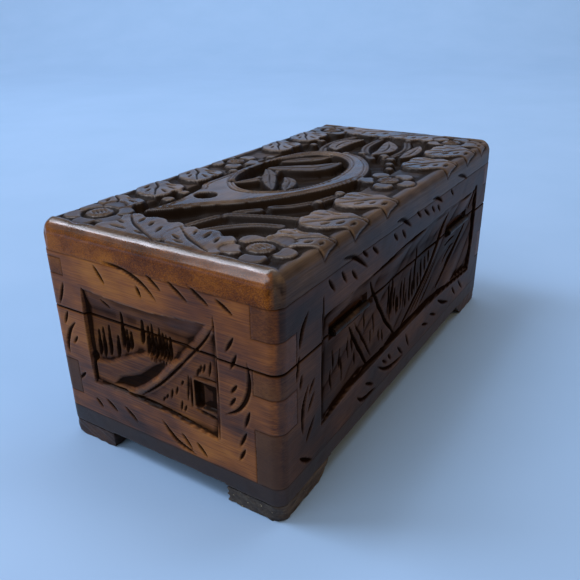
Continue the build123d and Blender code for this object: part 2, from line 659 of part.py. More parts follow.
with BuildPart() as tune_pins:
    for note in range(NOTES):
        pin_y = CYLINDER_Y + (note - (NOTES - 1) / 2) * NOTE_PITCH
        for beat in range(PINS_PER_NOTE):
            turn = radians((note * PINS_PER_NOTE + beat) * GOLDEN_ANGLE)
            outward = Vector(cos(turn), 0, sin(turn))
            middle = CYLINDER_RADIUS + (PIN_REACH - PIN_SUNK) / 2
            with Locations(Plane(Vector(CYLINDER_X, pin_y, CYLINDER_Z) + outward * middle, z_dir=outward)):
                Cylinder(PIN_RADIUS, PIN_SUNK + PIN_REACH)
save("tune_pins", tune_pins.part)

with BuildPart() as tune_cylinder:
    with Locations(across(CYLINDER_Y)):
        Cylinder(CYLINDER_RADIUS, CYLINDER_LENGTH)
        Cylinder(CYLINDER_RADIUS - CYLINDER_WALL, CYLINDER_LENGTH, mode=Mode.SUBTRACT)
    add(tune_pins.part, mode=Mode.SUBTRACT)
save("tune_cylinder", tune_cylinder.part)

WHEEL_Y = SHAFT_Y
with BuildPart() as worm_wheel:
    root = WHEEL_RADIUS - WHEEL_DEDENDUM
    tip = WHEEL_RADIUS + ADDENDUM
    with BuildSketch(across(WHEEL_Y - WHEEL_WIDTH / 2)):
        Circle(root + 0.02)
        # The first tooth points straight up at the worm.
        for tooth in range(WHEEL_TEETH):
            with Locations(Rotation(0, 0, 90 + 360 * tooth / WHEEL_TEETH)):
                with BuildLine():
                    Polyline(
                        (root - 0.2, -TOOTH_ROOT_HALF),
                        (root, -TOOTH_ROOT_HALF),
                        (tip, -TOOTH_TIP_HALF),
                        (tip, TOOTH_TIP_HALF),
                        (root, TOOTH_ROOT_HALF),
                        (root - 0.2, TOOTH_ROOT_HALF),
                        close=True,
                    )
                make_face()
        Circle(ARBOR_RADIUS, mode=Mode.SUBTRACT)
    extrude(amount=WHEEL_WIDTH)
save("worm_wheel", worm_wheel.part)


# ================================================================ crank train
def along_shaft(x, y=SHAFT_Y, z=SHAFT_Z):
    """The plane at x whose normal is the shaft's axis, towards the right end of the casket."""
    return Plane((x, y, z), x_dir=(0, 1, 0), z_dir=(1, 0, 0))


def tube_between(x_low, x_high, radius, y=SHAFT_Y, z=SHAFT_Z, mode=Mode.ADD):
    """Adds or cuts a round bar along X between two places."""
    with Locations(along_shaft((x_low + x_high) / 2, y, z)):
        Cylinder(radius, x_high - x_low, mode=mode)


with BuildPart() as crank_bush:
    tube_between(-HALF_LENGTH, BUSH_PROUD - INNER_X, BUSH_RADIUS)
    tube_between(BUSH_FACE_X, -HALF_LENGTH, BUSH_FLANGE_RADIUS)
    tube_between(BUSH_FACE_X, BUSH_PROUD - INNER_X, SHAFT_RADIUS + RUNNING, mode=Mode.SUBTRACT)
save("crank_bush", crank_bush.part)

with BuildPart() as crank_shaft:
    tube_between(ARM_X, SHAFT_END_X, SHAFT_RADIUS)
save("crank_shaft", crank_shaft.part)

with BuildPart() as shaft_collar:
    collar_x = WORM_BRACKET_X[0] - BRACKET_THICKNESS / 2 - 3.2
    tube_between(collar_x, collar_x + 3.0, 3.0)
    tube_between(collar_x, collar_x + 3.0, SHAFT_RADIUS, mode=Mode.SUBTRACT)
save("shaft_collar", shaft_collar.part)

# The thread meets the plane under the shaft half a pitch to the side of the wheel's top tooth.
thread_turns = WORM_LENGTH / WORM_PITCH
thread_path = Helix(WORM_PITCH, WORM_LENGTH, WORM_RADIUS, direction=(1, 0, 0))
thread_start = thread_path.position_at(0)
start_angle = degrees(atan2(thread_start.Z, thread_start.Y))
turns_to_bottom = ((-90.0 - start_angle) % 360.0) / 360.0
whole_turns = round((thread_turns - 1) / 2)
worm_x = CYLINDER_X + WORM_PITCH / 2 - (turns_to_bottom + whole_turns) * WORM_PITCH

with BuildPart() as worm:
    with BuildLine() as route:
        add(thread_path)
    root = WORM_RADIUS - WORM_DEDENDUM - THREAD_SUNK
    with BuildSketch(Plane(thread_start, x_dir=(0, thread_start.Y, thread_start.Z), z_dir=thread_path.tangent_at(0))):
        low = root - WORM_RADIUS
        with BuildLine():
            Polyline(
                (low, -THREAD_ROOT_HALF),
                (ADDENDUM, -THREAD_TIP_HALF),
                (ADDENDUM, THREAD_TIP_HALF),
                (low, THREAD_ROOT_HALF),
                close=True,
            )
        make_face()
    sweep(path=route.wires()[0], is_frenet=True)
    core_radius = WORM_RADIUS - WORM_DEDENDUM
    with Locations(Plane((WORM_LENGTH / 2, 0, 0), z_dir=(1, 0, 0))):
        Cylinder(core_radius, WORM_LENGTH + 3.0)
        Cylinder(SHAFT_RADIUS, WORM_LENGTH + 4.0, mode=Mode.SUBTRACT)
worm_part = worm.part.moved(Location((worm_x, SHAFT_Y, SHAFT_Z)))
save("worm", worm_part)

KNOB_Z = SHAFT_Z - CRANK_RADIUS
with BuildPart() as crank_arm:
    tube_between(ARM_X + ARM_THICKNESS, HUB_X, HUB_RADIUS)
    with BuildSketch(along_shaft(ARM_X)):
        Circle(HUB_RADIUS + 0.6)
        with Locations((0, -CRANK_RADIUS)):
            Circle(ARM_WIDTH / 2)
        with Locations((0, -CRANK_RADIUS / 2)):
            Rectangle(ARM_WIDTH - 0.8, CRANK_RADIUS)
    extrude(amount=ARM_THICKNESS)
    tube_between(ARM_X, HUB_X, SHAFT_RADIUS, mode=Mode.SUBTRACT)
    tube_between(ARM_X, ARM_X + ARM_THICKNESS, KNOB_PIN_RADIUS, z=KNOB_Z, mode=Mode.SUBTRACT)
save("crank_arm", crank_arm.part)

with BuildPart() as knob_pin:
    tube_between(KNOB_PIN_END_X, ARM_X + ARM_THICKNESS, KNOB_PIN_RADIUS, z=KNOB_Z)
    tube_between(OUTLINE_LEFT, KNOB_PIN_END_X, KNOB_PIN_HEAD, z=KNOB_Z)
save("knob_pin", knob_pin.part)

with BuildPart() as knob:
    with BuildSketch(Plane.XY):
        with BuildLine():
            Line((0, 0), (0, 3.6))
            Spline((0, 3.6), (-3.0, 3.4), (-8.5, KNOB_RADIUS), (-KNOB_LENGTH, 3.4))
            Line((-KNOB_LENGTH, 3.4), (-KNOB_LENGTH, 0))
            Line((-KNOB_LENGTH, 0), (0, 0))
        make_face()
    revolve(axis=Axis.X)
    with Locations(Plane((-KNOB_LENGTH / 2, 0, 0), z_dir=(1, 0, 0))):
        Cylinder(KNOB_PIN_RADIUS + RUNNING + 0.02, KNOB_LENGTH + 1, mode=Mode.SUBTRACT)
knob_part = knob.part.moved(Location((KNOB_X, SHAFT_Y, KNOB_Z)))
save("knob", knob_part)
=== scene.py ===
# %% [markdown]
# # A carved casket with a hand-cranked music movement
#
# The real box is made of dark stained hardwood boards. A carver cut the outside with a knife and a
# few gouges after the case and the lid were glued up, so a landscape runs on from the case into the
# lid. Here each board is a dense bmesh grid. Every cut is a small function that says how deep the
# tool went at a point, in millimetres, which is how a carver thinks about relief, and the grid's
# vertices are then sunk by that depth.

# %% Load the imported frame
import math

import bmesh
import bpy
import numpy as np
from mathutils import Matrix, Vector


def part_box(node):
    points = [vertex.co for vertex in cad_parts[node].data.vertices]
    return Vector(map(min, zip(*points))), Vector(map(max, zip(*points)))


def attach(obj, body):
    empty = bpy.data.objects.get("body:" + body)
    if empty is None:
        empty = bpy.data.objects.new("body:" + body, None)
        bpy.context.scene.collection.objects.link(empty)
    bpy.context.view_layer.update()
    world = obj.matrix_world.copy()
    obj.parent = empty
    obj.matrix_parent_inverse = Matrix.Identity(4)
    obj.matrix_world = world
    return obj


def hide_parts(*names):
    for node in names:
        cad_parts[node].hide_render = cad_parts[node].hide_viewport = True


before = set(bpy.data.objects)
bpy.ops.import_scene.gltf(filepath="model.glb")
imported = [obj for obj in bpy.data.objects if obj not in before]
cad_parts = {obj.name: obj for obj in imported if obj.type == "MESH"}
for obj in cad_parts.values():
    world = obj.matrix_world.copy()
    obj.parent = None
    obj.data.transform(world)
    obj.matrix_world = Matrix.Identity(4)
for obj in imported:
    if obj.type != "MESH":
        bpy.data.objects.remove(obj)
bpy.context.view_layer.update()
MM = 0.001

base_low, base_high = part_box("base_panel")
CASKET_X = (base_low.x + base_high.x) / 2 / MM
CASKET_Y = (base_low.y + base_high.y) / 2 / MM
HALF_LENGTH = (base_high.x - base_low.x) / 2 / MM
HALF_WIDTH = (base_high.y - base_low.y) / 2 / MM
print("casket half sizes, mm:", round(HALF_LENGTH, 2), round(HALF_WIDTH, 2))


def height_of(node, end):
    """The lowest (0) or highest (1) point of a CAD node, in millimetres."""
    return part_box(node)[end].z / MM


BASE_TOP = height_of("base_panel", 1)
WALL_TOP = height_of("front_board", 1)
RAIL_BOTTOM = height_of("lid_front_rail", 0)
PANEL_BOTTOM = height_of("lid_panel", 0)
LID_TOP = height_of("lid_panel", 1)
BOARD = 12.0
CORNER = 5.5
FOOT_LONG, FOOT_SHORT = 41, 29  # how far a foot runs along the long side and along the end
print("levels, mm:", BASE_TOP, WALL_TOP, RAIL_BOTTOM, PANEL_BOTTOM, LID_TOP)

# %% [markdown]
# ## The carver's tools
#
# Three cuts make nearly everything. A gouge stroke is a groove that is pointed at both ends. A
# pressed area is a floor let down inside an outline, with a steep wall where the knife went in. A
# raised shape is what stays standing when the ground round it goes down. All of them work on arrays
# of points at once, so that a whole board takes well under a second.


# %% Distances to paths and outlines
def smooth_path(path, steps=8):
    """A soft curve through the points of a path, as a hand draws it."""
    path = np.asarray(path, float)
    if len(path) < 3:
        return path
    padded = np.vstack([2 * path[0] - path[1], path, 2 * path[-1] - path[-2]])
    t = np.linspace(0, 1, steps, endpoint=False)[:, None]
    pieces = []
    for a, b, c, d in zip(padded, padded[1:], padded[2:], padded[3:]):
        bend = 2 * a - 5 * b + 4 * c - d
        twist = 3 * (b - c) + d - a
        pieces.append(0.5 * (2 * b + (c - a) * t + bend * t**2 + twist * t**3))
    return np.vstack([*pieces, path[-1:]])


def nearest_on_path(s, z, path):
    """Distance to a path, how far along it the nearest point is in mm, and on which side."""
    steps = np.diff(path, axis=0)
    lengths = np.hypot(steps[:, 0], steps[:, 1])
    starts = np.concatenate([[0.0], np.cumsum(lengths)])
    best = np.full(s.shape, 1e9)
    along = np.zeros(s.shape)
    side = np.zeros(s.shape)
    for corner, step, length, start in zip(path, steps, lengths, starts):
        ds, dz = s - corner[0], z - corner[1]
        t = np.clip((ds * step[0] + dz * step[1]) / length**2, 0, 1)
        far = np.hypot(ds - t * step[0], dz - t * step[1])
        closer = far < best
        best = np.where(closer, far, best)
        along = np.where(closer, start + t * length, along)
        side = np.where(closer, np.sign(step[0] * dz - step[1] * ds), side)
    return best, along, side, starts[-1]


def depth_inside(s, z, outline):
    """How far each point lies inside a closed outline, in mm; negative outside."""
    outline = np.asarray(outline, float)
    closed = np.vstack([outline, outline[:1]])
    far = nearest_on_path(s, z, closed)[0]
    inside = np.zeros(s.shape, bool)
    for (s0, z0), (s1, z1) in zip(closed, closed[1:]):
        if z0 == z1:
            continue
        crosses = (z0 > z) != (z1 > z)
        inside ^= crosses & (s < (s1 - s0) * (z - z0) / (z1 - z0) + s0)
    return np.where(inside, far, -far)


def near(s, z, path, reach):
    """Picks the points within reach of a path's own rectangle, to save work."""
    low, high = np.min(path, axis=0) - reach, np.max(path, axis=0) + reach
    return (s > low[0]) & (s < high[0]) & (z > low[1]) & (z < high[1])


def wander(s, z, size, seed):
    """A slow, smooth unevenness between -1 and 1, the same on every run."""
    a, b, c = (math.sin(seed * k) * 3 for k in (1.7, 2.9, 4.3))
    s, z = s / size, z / size
    wave = np.sin(s * 1.1 + z * 0.7 + a) + np.sin(z * 1.3 - s * 0.5 + b) + np.sin(s * 2.1 + z * 1.9 + c)
    return wave / 3


# %% The three cuts
def gouge(cut, s, z, path, width=1.8, depth=0.9, ends=0.6):
    """A groove along a path, deepest in the middle and pointed at both ends."""
    path = smooth_path(path)
    here = near(s, z, path, width)
    far, along, _, total = nearest_on_path(s[here], z[here], path)
    swell = np.sin(np.pi * np.clip(along / total, 0.001, 0.999)) ** ends
    half = np.maximum(0.5 * width * swell, 0.05)
    cut[here] += depth * swell * np.clip(1 - (far / half) ** 1.6, 0, 1)


def press(cut, s, z, outline, depth, wall=0.6):
    """Lets the ground inside an outline down to a depth, with a steep wall round it."""
    here = near(s, z, outline, 1)
    floor = depth * np.clip(depth_inside(s[here], z[here], outline) / wall, 0, 1)
    cut[here] = np.maximum(cut[here], floor)


def leave_standing(cut, s, z, outline, level, wall=0.8):
    """Keeps the ground inside an outline up at a level while the rest is deeper."""
    here = near(s, z, outline, 1)
    share = np.clip(depth_inside(s[here], z[here], outline) / wall, 0, 1)
    kept = np.minimum(cut[here], level)
    cut[here] += (kept - cut[here]) * share


# %% [markdown]
# ## The landscape on the ends
#
# The end scene is a sunk panel with trees on a hill, a lake, a path that climbs to the right and a
# hut in the corner. Loose crescents and short strokes run round the panel as a border. Positions
# are millimetres on the board: across from its middle, and up from the table.

# %% End scene
END_PANEL = [(-40, 36.5), (-28, 36), (-15, 36.5), (-5, 35), (5, 35.5), (12, 34), (20, 33.5)]
END_PANEL += [(31.5, 31.5), (32.5, 60), (33, 85), (15, 83.2), (0, 81.8), (-20, 82), (-39.5, 83.5)]
END_HILL = [(-41, 30), (-40, 48), (-30, 50), (-22, 54), (-14, 58), (-6, 61.5), (8, 62), (15, 65)]
END_HILL += [(22, 72), (34, 86), (34, 30)]
END_LAKE = [(-29, 38), (-24, 44), (-12, 49.5), (-4, 56), (2, 61), (7, 59), (0, 50), (-8, 43), (-15, 38)]
END_TREES = [(-35, 52, 65), (-32, 52, 67), (-28, 54, 69), (-23, 55, 65), (-19, 60, 78), (-17, 59, 70)]
END_TREES += [(-14.5, 61, 69), (-7, 66, 77), (-4, 62, 75), (-1.8, 60, 76), (0, 59, 72), (2.2, 60, 75)]
END_TREES += [(4, 60, 74), (5.8, 60, 73), (8, 62, 73)]
END_HATCH = [(2, 39, 42), (4, 41, 44), (7, 42, 48), (10, 45, 50), (12, 37.5, 44), (14, 38, 42)]
END_HATCH += [(13.5, 51, 54), (16.5, 44, 58), (24, 60, 65), (26, 61, 66), (29, 60, 68), (22.5, 58, 63)]
END_STROKES = [
    [(-26, 99), (-19, 99), (-12, 98), (-5, 95.5), (0, 92.5), (5.5, 87.5)],
    [(-47, 65.5), (-52, 60), (-55, 53), (-55.5, 46)],
    [(48, 74), (48.7, 65), (47, 57), (42.5, 50), (35.5, 45.5)],
    [(0, 30), (5, 24), (10, 20.5), (19, 18)],
]
END_TICKS = [
    [(-30, 97), (-24, 88.5)],
    [(-6, 93), (-3.5, 87.5)],
    [(0, 99), (8, 93)],
    [(11, 99), (21.5, 91.5)],
    [(22, 99), (32, 92.5)],
    [(34.5, 97), (43, 91.5)],
    [(-51, 84.5), (-56, 72)],
    [(-51.5, 70), (-55, 62)],
    [(-47.5, 58), (-51, 53)],
    [(-46, 39), (-51, 34)],
    [(42.5, 83), (38, 75)],
    [(43.5, 76), (40, 68)],
    [(43, 62), (39.5, 57)],
    [(42, 56), (38.5, 50.5)],
    [(48.5, 52), (45.5, 42.5)],
    [(46.5, 41), (42.5, 32)],
    [(45.5, 32.5), (42, 25)],
    [(-42, 26.5), (-37.5, 22)],
    [(-35, 28.5), (-27.5, 23)],
    [(-23, 28.5), (-15, 22)],
    [(11, 27), (17, 19.5)],
    [(19, 25.5), (25, 19)],
]


def end_scene(s, z):
    """Depth of cut on an end board and the lid rail over it."""
    cut = np.zeros(s.shape)
    scoop = 0.5 + 1.5 * np.clip((83.5 - z) / 9, 0, 1)
    press(cut, s, z, END_PANEL, 2.0, 0.7)
    cut = np.minimum(cut, scoop)
    leave_standing(cut, s, z, END_HILL, 1.0, 2.0)
    lake = np.clip(depth_inside(s, z, END_LAKE) / 2.2, 0, 1)
    cut += 1.1 * lake * (cut > 0.5)
    ridge = smooth_path([(-18, 37), (-8, 42.5), (3, 51.5), (13, 61.5), (22, 72), (33, 85)])
    far = nearest_on_path(s, z, ridge)[0]
    cut -= np.where(cut > 0.1, 0.8 * np.clip(1.4 - far / 2.2, 0, 1), 0)
    cut = np.maximum(cut, 0)
    gouge(cut, s, z, [(-11, 38), (0, 47), (10, 57), (20, 68), (27, 76), (33, 84.5)], 1.8, 1.3, 0.3)
    for across, low, high in END_TREES:
        gouge(cut, s, z, [(across - 0.4, low), (across + 0.3, high)], 1.6, 1.3)
        gouge(cut, s, z, [(across - 0.8, low - 2.0), (across + 0.2, 0.45 * low + 0.55 * high)], 2.7, 1.5)
    for across, low, high in END_HATCH:
        gouge(cut, s, z, [(across - 0.7, low), (across + 0.7, high)], 1.3, 0.8)
    press(cut, s, z, [(19.6, 43), (19.8, 56.5), (24, 56), (24, 43.5)], 3.9, 1.0)
    press(cut, s, z, [(21, 43.5), (21.5, 56.5), (32, 56.5), (31.7, 43)], 2.6, 1.2)
    gouge(cut, s, z, [(18, 42), (18.3, 57.5)], 1.2, 1.0, 0.3)
    gouge(cut, s, z, [(20, 42), (31.7, 40.8)], 1.4, 1.1, 0.3)
    gouge(cut, s, z, [(20, 58.2), (31.7, 58.6)], 1.3, 0.8, 0.3)
    gouge(cut, s, z, [(-39.7, 35.5), (-40, 60), (-39.4, 84)], 2.4, 1.7, 0.3)
    gouge(cut, s, z, [(-39, 52), (-38.5, 47)], 3.5, 1.2)
    gouge(cut, s, z, [(-41, 36), (-15, 36.5), (5, 35.3), (20, 33.3), (32, 31.3)], 1.9, 1.4, 0.3)
    gouge(cut, s, z, [(32.5, 31.5), (33, 60), (33.2, 90)], 1.2, 0.9, 0.3)
    gouge(cut, s, z, [(-30, 80.5), (-24, 77)], 1.6, 0.5)
    for path in END_STROKES:
        gouge(cut, s, z, path, 2.5, 1.3, 0.7)
    for path in END_TICKS:
        gouge(cut, s, z, path, 1.8, 1.0)
    return cut


# %% [markdown]
# ## The landscape on the long sides
#
# The long scene has bold slanting valley lines, a row of pointed trees and steep slopes, cut with a
# wider and deeper tool than the ends. It is drawn once and used on both long sides.

# %% Long scene
LONG_PANEL = [(95, 32), (80, 33.5), (60, 36.5), (45, 35.5), (30, 37), (10, 37.5), (-20, 37), (-50, 35.5)]
LONG_PANEL += [(-75, 34.5), (-95, 32.5), (-101, 31), (-103, 58), (-101.5, 86), (-80, 86), (-50, 87)]
LONG_PANEL += [(-18, 86), (10, 85.5), (50, 83), (94, 82)]
LONG_DEEP = [
    ([(8, 38.5), (-4, 45), (-14, 51), (-26, 59), (-38, 70), (-52, 84)], 4.2, 3.4),
    ([(-42, 40), (-55, 46.5), (-70, 56), (-87, 67)], 3.2, 2.4),
    ([(-92, 75), (-96, 81), (-100, 88)], 3.6, 2.4),
    ([(50, 80), (43, 69), (30, 51), (17, 37.5)], 2.2, 1.8),
    ([(70, 66), (60, 51), (49, 35.5)], 2.0, 1.7),
]
LONG_FINE = [
    [(0, 38), (-14, 46), (-30, 56), (-43, 64)],
    [(-6, 38), (-18, 45), (-32, 54), (-42, 61)],
    [(-15, 38), (-26, 44), (-36, 51)],
    [(66, 67), (58, 57), (51, 47), (44, 37)],
    [(-50, 63), (-60, 64), (-70, 64)],
    [(-48, 52), (-55, 56), (-64, 59), (-72, 59)],
    [(-55, 49), (-60, 52), (-68, 56)],
]
LONG_TREES = [(27, 52, 71), (24.5, 48, 68), (22.5, 50, 73), (19.5, 52, 66), (16.5, 48, 60), (15, 49, 58)]
LONG_TREES += [(11, 48, 66), (7, 48, 66), (4, 47, 58), (-1, 47, 69), (-4.5, 49, 60), (-7, 50, 79)]
LONG_TREES += [(-11, 51, 62), (-15, 53, 68), (-20, 58, 68), (-25, 62, 70)]
LONG_HATCH = [(86, 42, 54), (84, 50, 62), (78, 48, 60), (76, 40, 55), (70, 48, 62), (66, 50, 60)]
LONG_HATCH += [(63, 42, 52), (54, 56, 66), (47, 46, 55), (44, 50, 62), (37, 42, 50), (33, 40, 48)]
LONG_STROKES = [
    [(80, 101.5), (68, 98), (55, 89)],
    [(26, 101), (17, 99.5), (6, 93)],
    [(-20, 100), (-30, 98), (-39, 93.5)],
    [(-60, 103.5), (-70, 101), (-79, 97.5)],
    [(114, 25.5), (108, 20.5), (103, 17.5)],
    [(62, 25), (55, 19.5), (40, 18.2)],
    [(40, 30), (30, 23.5), (20, 20.5), (4, 19.5)],
    [(-44, 31.5), (-55, 25.5), (-66, 21.5)],
    [(106, 90), (110.5, 84), (113, 76)],
    [(106, 58), (110.5, 48), (111, 35)],
]
LONG_TICKS = [
    [(91, 97), (85, 89.5)],
    [(80, 96.5), (75, 89.5)],
    [(71, 93.5), (65, 87)],
    [(61, 98.5), (55, 94)],
    [(51.5, 97.5), (44, 91.5)],
    [(28, 96), (22.5, 91)],
    [(18, 95), (12.5, 89)],
    [(0, 99), (-7, 94)],
    [(-10, 97.5), (-19, 91.5)],
    [(-21, 96), (-27, 91)],
    [(-30, 94.5), (-35, 89.5)],
    [(-50, 98), (-56, 93)],
    [(53, 27.5), (43, 21.5)],
    [(34, 30.5), (27, 25.5)],
    [(27, 30.5), (22, 25)],
    [(15, 29), (6, 20)],
    [(4, 31.5), (-2, 21)],
    [(-20, 26), (-31, 21.5)],
    [(-32, 27.5), (-44, 22)],
    [(-70, 30), (-79, 21)],
    [(-81, 30.5), (-93, 20)],
    [(113, 74), (115, 63)],
    [(111, 65), (112.5, 58)],
    [(101.5, 58), (106, 52)],
    [(101.5, 51.5), (107, 44)],
    [(101.5, 39.5), (108.5, 30)],
]


def long_scene(s, z):
    """Depth of cut on a long board and the lid rail over it."""
    cut = np.zeros(s.shape)
    press(cut, s, z, LONG_PANEL, 1.7, 0.7)
    cut = np.minimum(cut, 0.4 + 1.3 * np.clip((86 - z) / 10, 0, 1))
    slopes = 0.9 * np.abs(wander(s + 0.8 * z, z, 13.0, 5.0))
    cut -= np.where(cut > 0.6, slopes, 0)
    for path, width, depth in LONG_DEEP:
        gouge(cut, s, z, path, width, depth, 0.35)
    for path in LONG_FINE:
        gouge(cut, s, z, path, 1.6, 0.9)
    for across, low, high in LONG_TREES:
        gouge(cut, s, z, [(across + 0.4, low), (across - 0.3, high)], 1.9, 1.5)
    for across, low, high in LONG_HATCH:
        gouge(cut, s, z, [(across - 0.5, low), (across + 0.5, high)], 1.4, 0.8)
    gouge(cut, s, z, [(96, 31), (70, 35), (45, 35.7), (0, 37), (-50, 35.3), (-102, 30.5)], 2.6, 2.2, 0.2)
    gouge(cut, s, z, [(95, 30), (95.2, 60), (94.6, 91)], 1.3, 1.2, 0.3)
    gouge(cut, s, z, [(-101, 30), (-103, 58), (-101.5, 88)], 2.8, 2.4, 0.3)
    gouge(cut, s, z, [(48, 81.5), (10, 84), (-18, 84.5)], 3.5, 0.7, 0.5)
    for path in LONG_STROKES:
        gouge(cut, s, z, path, 2.4, 1.4, 0.7)
    for path in LONG_TICKS:
        gouge(cut, s, z, path, 1.9, 1.1)
    return cut

# %% [markdown]
# ## The top of the lid
#
# The lid's top board is pierced-looking work: five-petalled flowers in the corners, a border of
# leaves whose tips lap over the rounded edge, and a broad oval ring joined to a pointed web, all
# left standing over a ground that is cut down about 5 mm. Each shape is laid over the one before it,
# with a dark cut round it, exactly the order in which a carver sets them in.


# %% Shapes that stand on the lid
def lay_over(cut, inside, depth_at, moat=1.0):
    """Sets a raised shape over the work so far, with a cut round it that is deeper in deep ground."""
    share = np.clip(0.5 + inside / 0.9, 0, 1)
    ring = np.clip(1.4 + inside / moat, 0, 1)
    ground = cut + ring * np.minimum(0.45 * cut, 0.9)
    cut[:] = ground + (depth_at - ground) * share


def rounded_rim(inside, level, rim=1.0, drop=0.6):
    """The height inside a shape: flat in the middle and rolled over towards its edge."""
    return level + drop * (1 - np.clip(inside / rim, 0, 1)) ** 2


def leaf(cut, x, y, midrib, width, level=0.0, slits=4):
    """A plain pointed leaf with a curved midrib and a few slits on each side."""
    path = smooth_path(midrib)
    here = near(x, y, path, width)
    far, along, _, total = nearest_on_path(x[here], y[here], path)
    share = np.clip(along / total, 0, 1)
    half = width * np.sin(np.pi * (0.06 + 0.9 * share)) ** 0.6
    inside = half - far
    crown = rounded_rim(inside, level) + 0.35 * (far / np.maximum(half, 0.1)) ** 2
    crown += 0.8 * np.clip(1 - far / 0.7, 0, 1) * np.sin(np.pi * share) ** 0.5
    slant = (along + 0.9 * far) / (total / slits)
    slit = np.clip(1 - np.abs(slant - np.round(slant)) * (total / slits) / 0.55, 0, 1)
    crown += 0.6 * slit * (far > 0.3 * half) * (far < 0.75 * half)
    part = cut[here]
    lay_over(part, inside, crown)
    cut[here] = part


def cut_leaf(cut, x, y, outline, slits, level=0.0):
    """A broad leaf set in along a drawn outline, flat on top, with knife slits in it."""
    outline = smooth_path(outline + outline[:1], 4)[:-1]
    here = near(x, y, outline, 2)
    inside = depth_inside(x[here], y[here], outline)
    part = cut[here]
    lay_over(part, inside, rounded_rim(inside, level) + 0.25 * wander(x[here], y[here], 7, 2))
    cut[here] = part
    for start, *between, stop in slits:
        longer = [(1.3 * a - 0.3 * b, 1.3 * c - 0.3 * d) for (a, c), (b, d) in ((start, stop), (stop, start))]
        gouge(cut, x, y, [longer[0], *between, longer[1]], 1.35, 1.3, 0.6)


def disc(cut, x, y, centre, radius, level=0.0, drop=0.5, rim=1.0):
    """A round boss, such as a petal or a berry."""
    here = near(x, y, [centre, centre], radius + 2)
    far = np.hypot(x[here] - centre[0], y[here] - centre[1])
    part = cut[here]
    lay_over(part, radius - far, rounded_rim(radius - far, level, rim, drop))
    cut[here] = part


def flower(cut, x, y, centre, turn, petals=5, heart=6.2, reach=11.2):
    """Round flat petals under a flat heart that has a ring cut in it and a few scratched lines."""
    for petal in range(petals):
        angle = math.radians(turn + 360 * petal / petals)
        spot = (centre[0] + reach * math.cos(angle), centre[1] + reach * math.sin(angle))
        disc(cut, x, y, spot, 0.55 * reach, 0.5)
    disc(cut, x, y, centre, heart + 1.1, 2.3, 0.0)
    disc(cut, x, y, centre, heart, 0.1, 0.7, 1.6)
    here = near(x, y, [centre, centre], heart)
    far = np.hypot(x[here] - centre[0], y[here] - centre[1])
    cut[here] += 0.8 * np.clip(1 - np.abs(far - heart + 1.6) / 0.6, 0, 1)
    lean = math.radians(turn + 50)
    for step in (-2.6, -0.9, 0.9, 2.6):
        mid = (centre[0] - step * math.sin(lean), centre[1] + step * math.cos(lean))
        ends = [(mid[0] + k * math.cos(lean), mid[1] + k * math.sin(lean)) for k in (-3.0, 3.4)]
        gouge(cut, x, y, ends, 1.3, 0.9)


# %% Layout of the lid
WEB = [(98, -30), (88, -20), (76, -9), (68, 0), (60, 7), (50, 14), (40, 19.5), (25, 26), (8, 30)]
WEB += [(-6, 31), (-20, 27), (-34, 19), (-45, 8), (-49, -6), (-45, -20), (-34, -29), (-15, -34)]
WEB += [(10, -35.5), (30, -35), (48, -34.5), (56, -30), (76, -27)]
RING_HOLE = ((4.0, -7.0), (41.0, 24.0))
EYE = ((63.5, -19.5), 4.8)
BRANCHES = [
    ([(100, -2), (88, 1), (74, 6), (66, 13)], 2.4),
    ([(101, 8), (92, 14), (84, 23), (80, 33)], 2.6),
    ([(78, 5), (74, 16), (70, 27), (68, 36)], 2.3),
    ([(60, 16), (52, 24), (40, 30), (26, 34)], 2.4),
    ([(-48, 14), (-60, 4), (-76, -2), (-98, -3)], 2.6),
    ([(-46, -18), (-60, -24), (-78, -26), (-97, -22)], 2.6),
    ([(-50, 22), (-66, 24), (-82, 22), (-98, 16)], 2.4),
]
INNER_LEAVES = [
    ([(36, -24), (22, -17), (8, -18), (-6, -24)], 4.6),
    ([(36, 0), (26, -8), (14, -16), (2, -26)], 4.4),
    ([(34, 6), (26, 3), (18, -1), (13, -7)], 4.6),
    ([(0, -24), (-6, -12), (-14, -2), (-28, 4)], 7.6),
    ([(-14, -26), (-24, -19), (-31, -12), (-38, -8)], 5.4),
]
FAR_LEAVES = [
    ([(-56, -14), (-66, -18), (-78, -18), (-90, -12)], 6.5),
    ([(-56, 12), (-66, 14), (-78, 12), (-92, 6)], 6.5),
    ([(-54, 30), (-64, 31), (-76, 30), (-88, 28)], 5.0),
]
BERRIES = [(75, -33.0, 4.2), (62.5, -34.0, 3.8), (-50, -4, 3.4), (-55, 4, 3.4), (-55, 19, 3.6)]
BERRIES += [(-49, 26, 3.6), (-38, 30, 3.4), (44, 31, 3.2), (16, -38.5, 3.4), (-20, -38, 3.6)]
BERRIES += [(-28, 34.5, 3.2), (-62, -33, 3.4), (-74, -34, 3.4), (26, 32.5, 3.4)]
FIRST_END_LEAF = [(121.5, -32), (117, -34), (107, -33), (100.5, -29.5), (99, -25), (101, -21.5)]
FIRST_END_LEAF += [(98.3, -17), (98.8, -11), (101.5, -8), (99, -4), (102, 1.5), (111, 4), (120.5, 3.5)]
FIRST_END_LEAF += [(121.4, -8), (122.2, -20)]
FIRST_END_SLITS = [
    [(103, -27), (109, -22), (114, -14), (118, -4)],
    [(104, -20), (108, -19)],
    [(105.5, -13.5), (109.5, -12)],
    [(111, -28.5), (112.5, -24)],
    [(117, -26), (117.5, -19)],
    [(109, -6), (113.5, -4.5)],
    [(117.5, -12), (118.3, -8)],
]
SECOND_END_LEAF = [(121, 7), (117, 1.5), (110, -0.5), (104, 1), (100.5, 5.5), (102.3, 9.5), (99.8, 14)]
SECOND_END_LEAF += [
    (100.5, 19), (103.5, 21.5), (101.5, 25.5), (105, 30), (111, 32.5),
    (118, 33), (121.8, 31), (122.2, 25),
]
SECOND_END_LEAF += [(121.3, 16)]
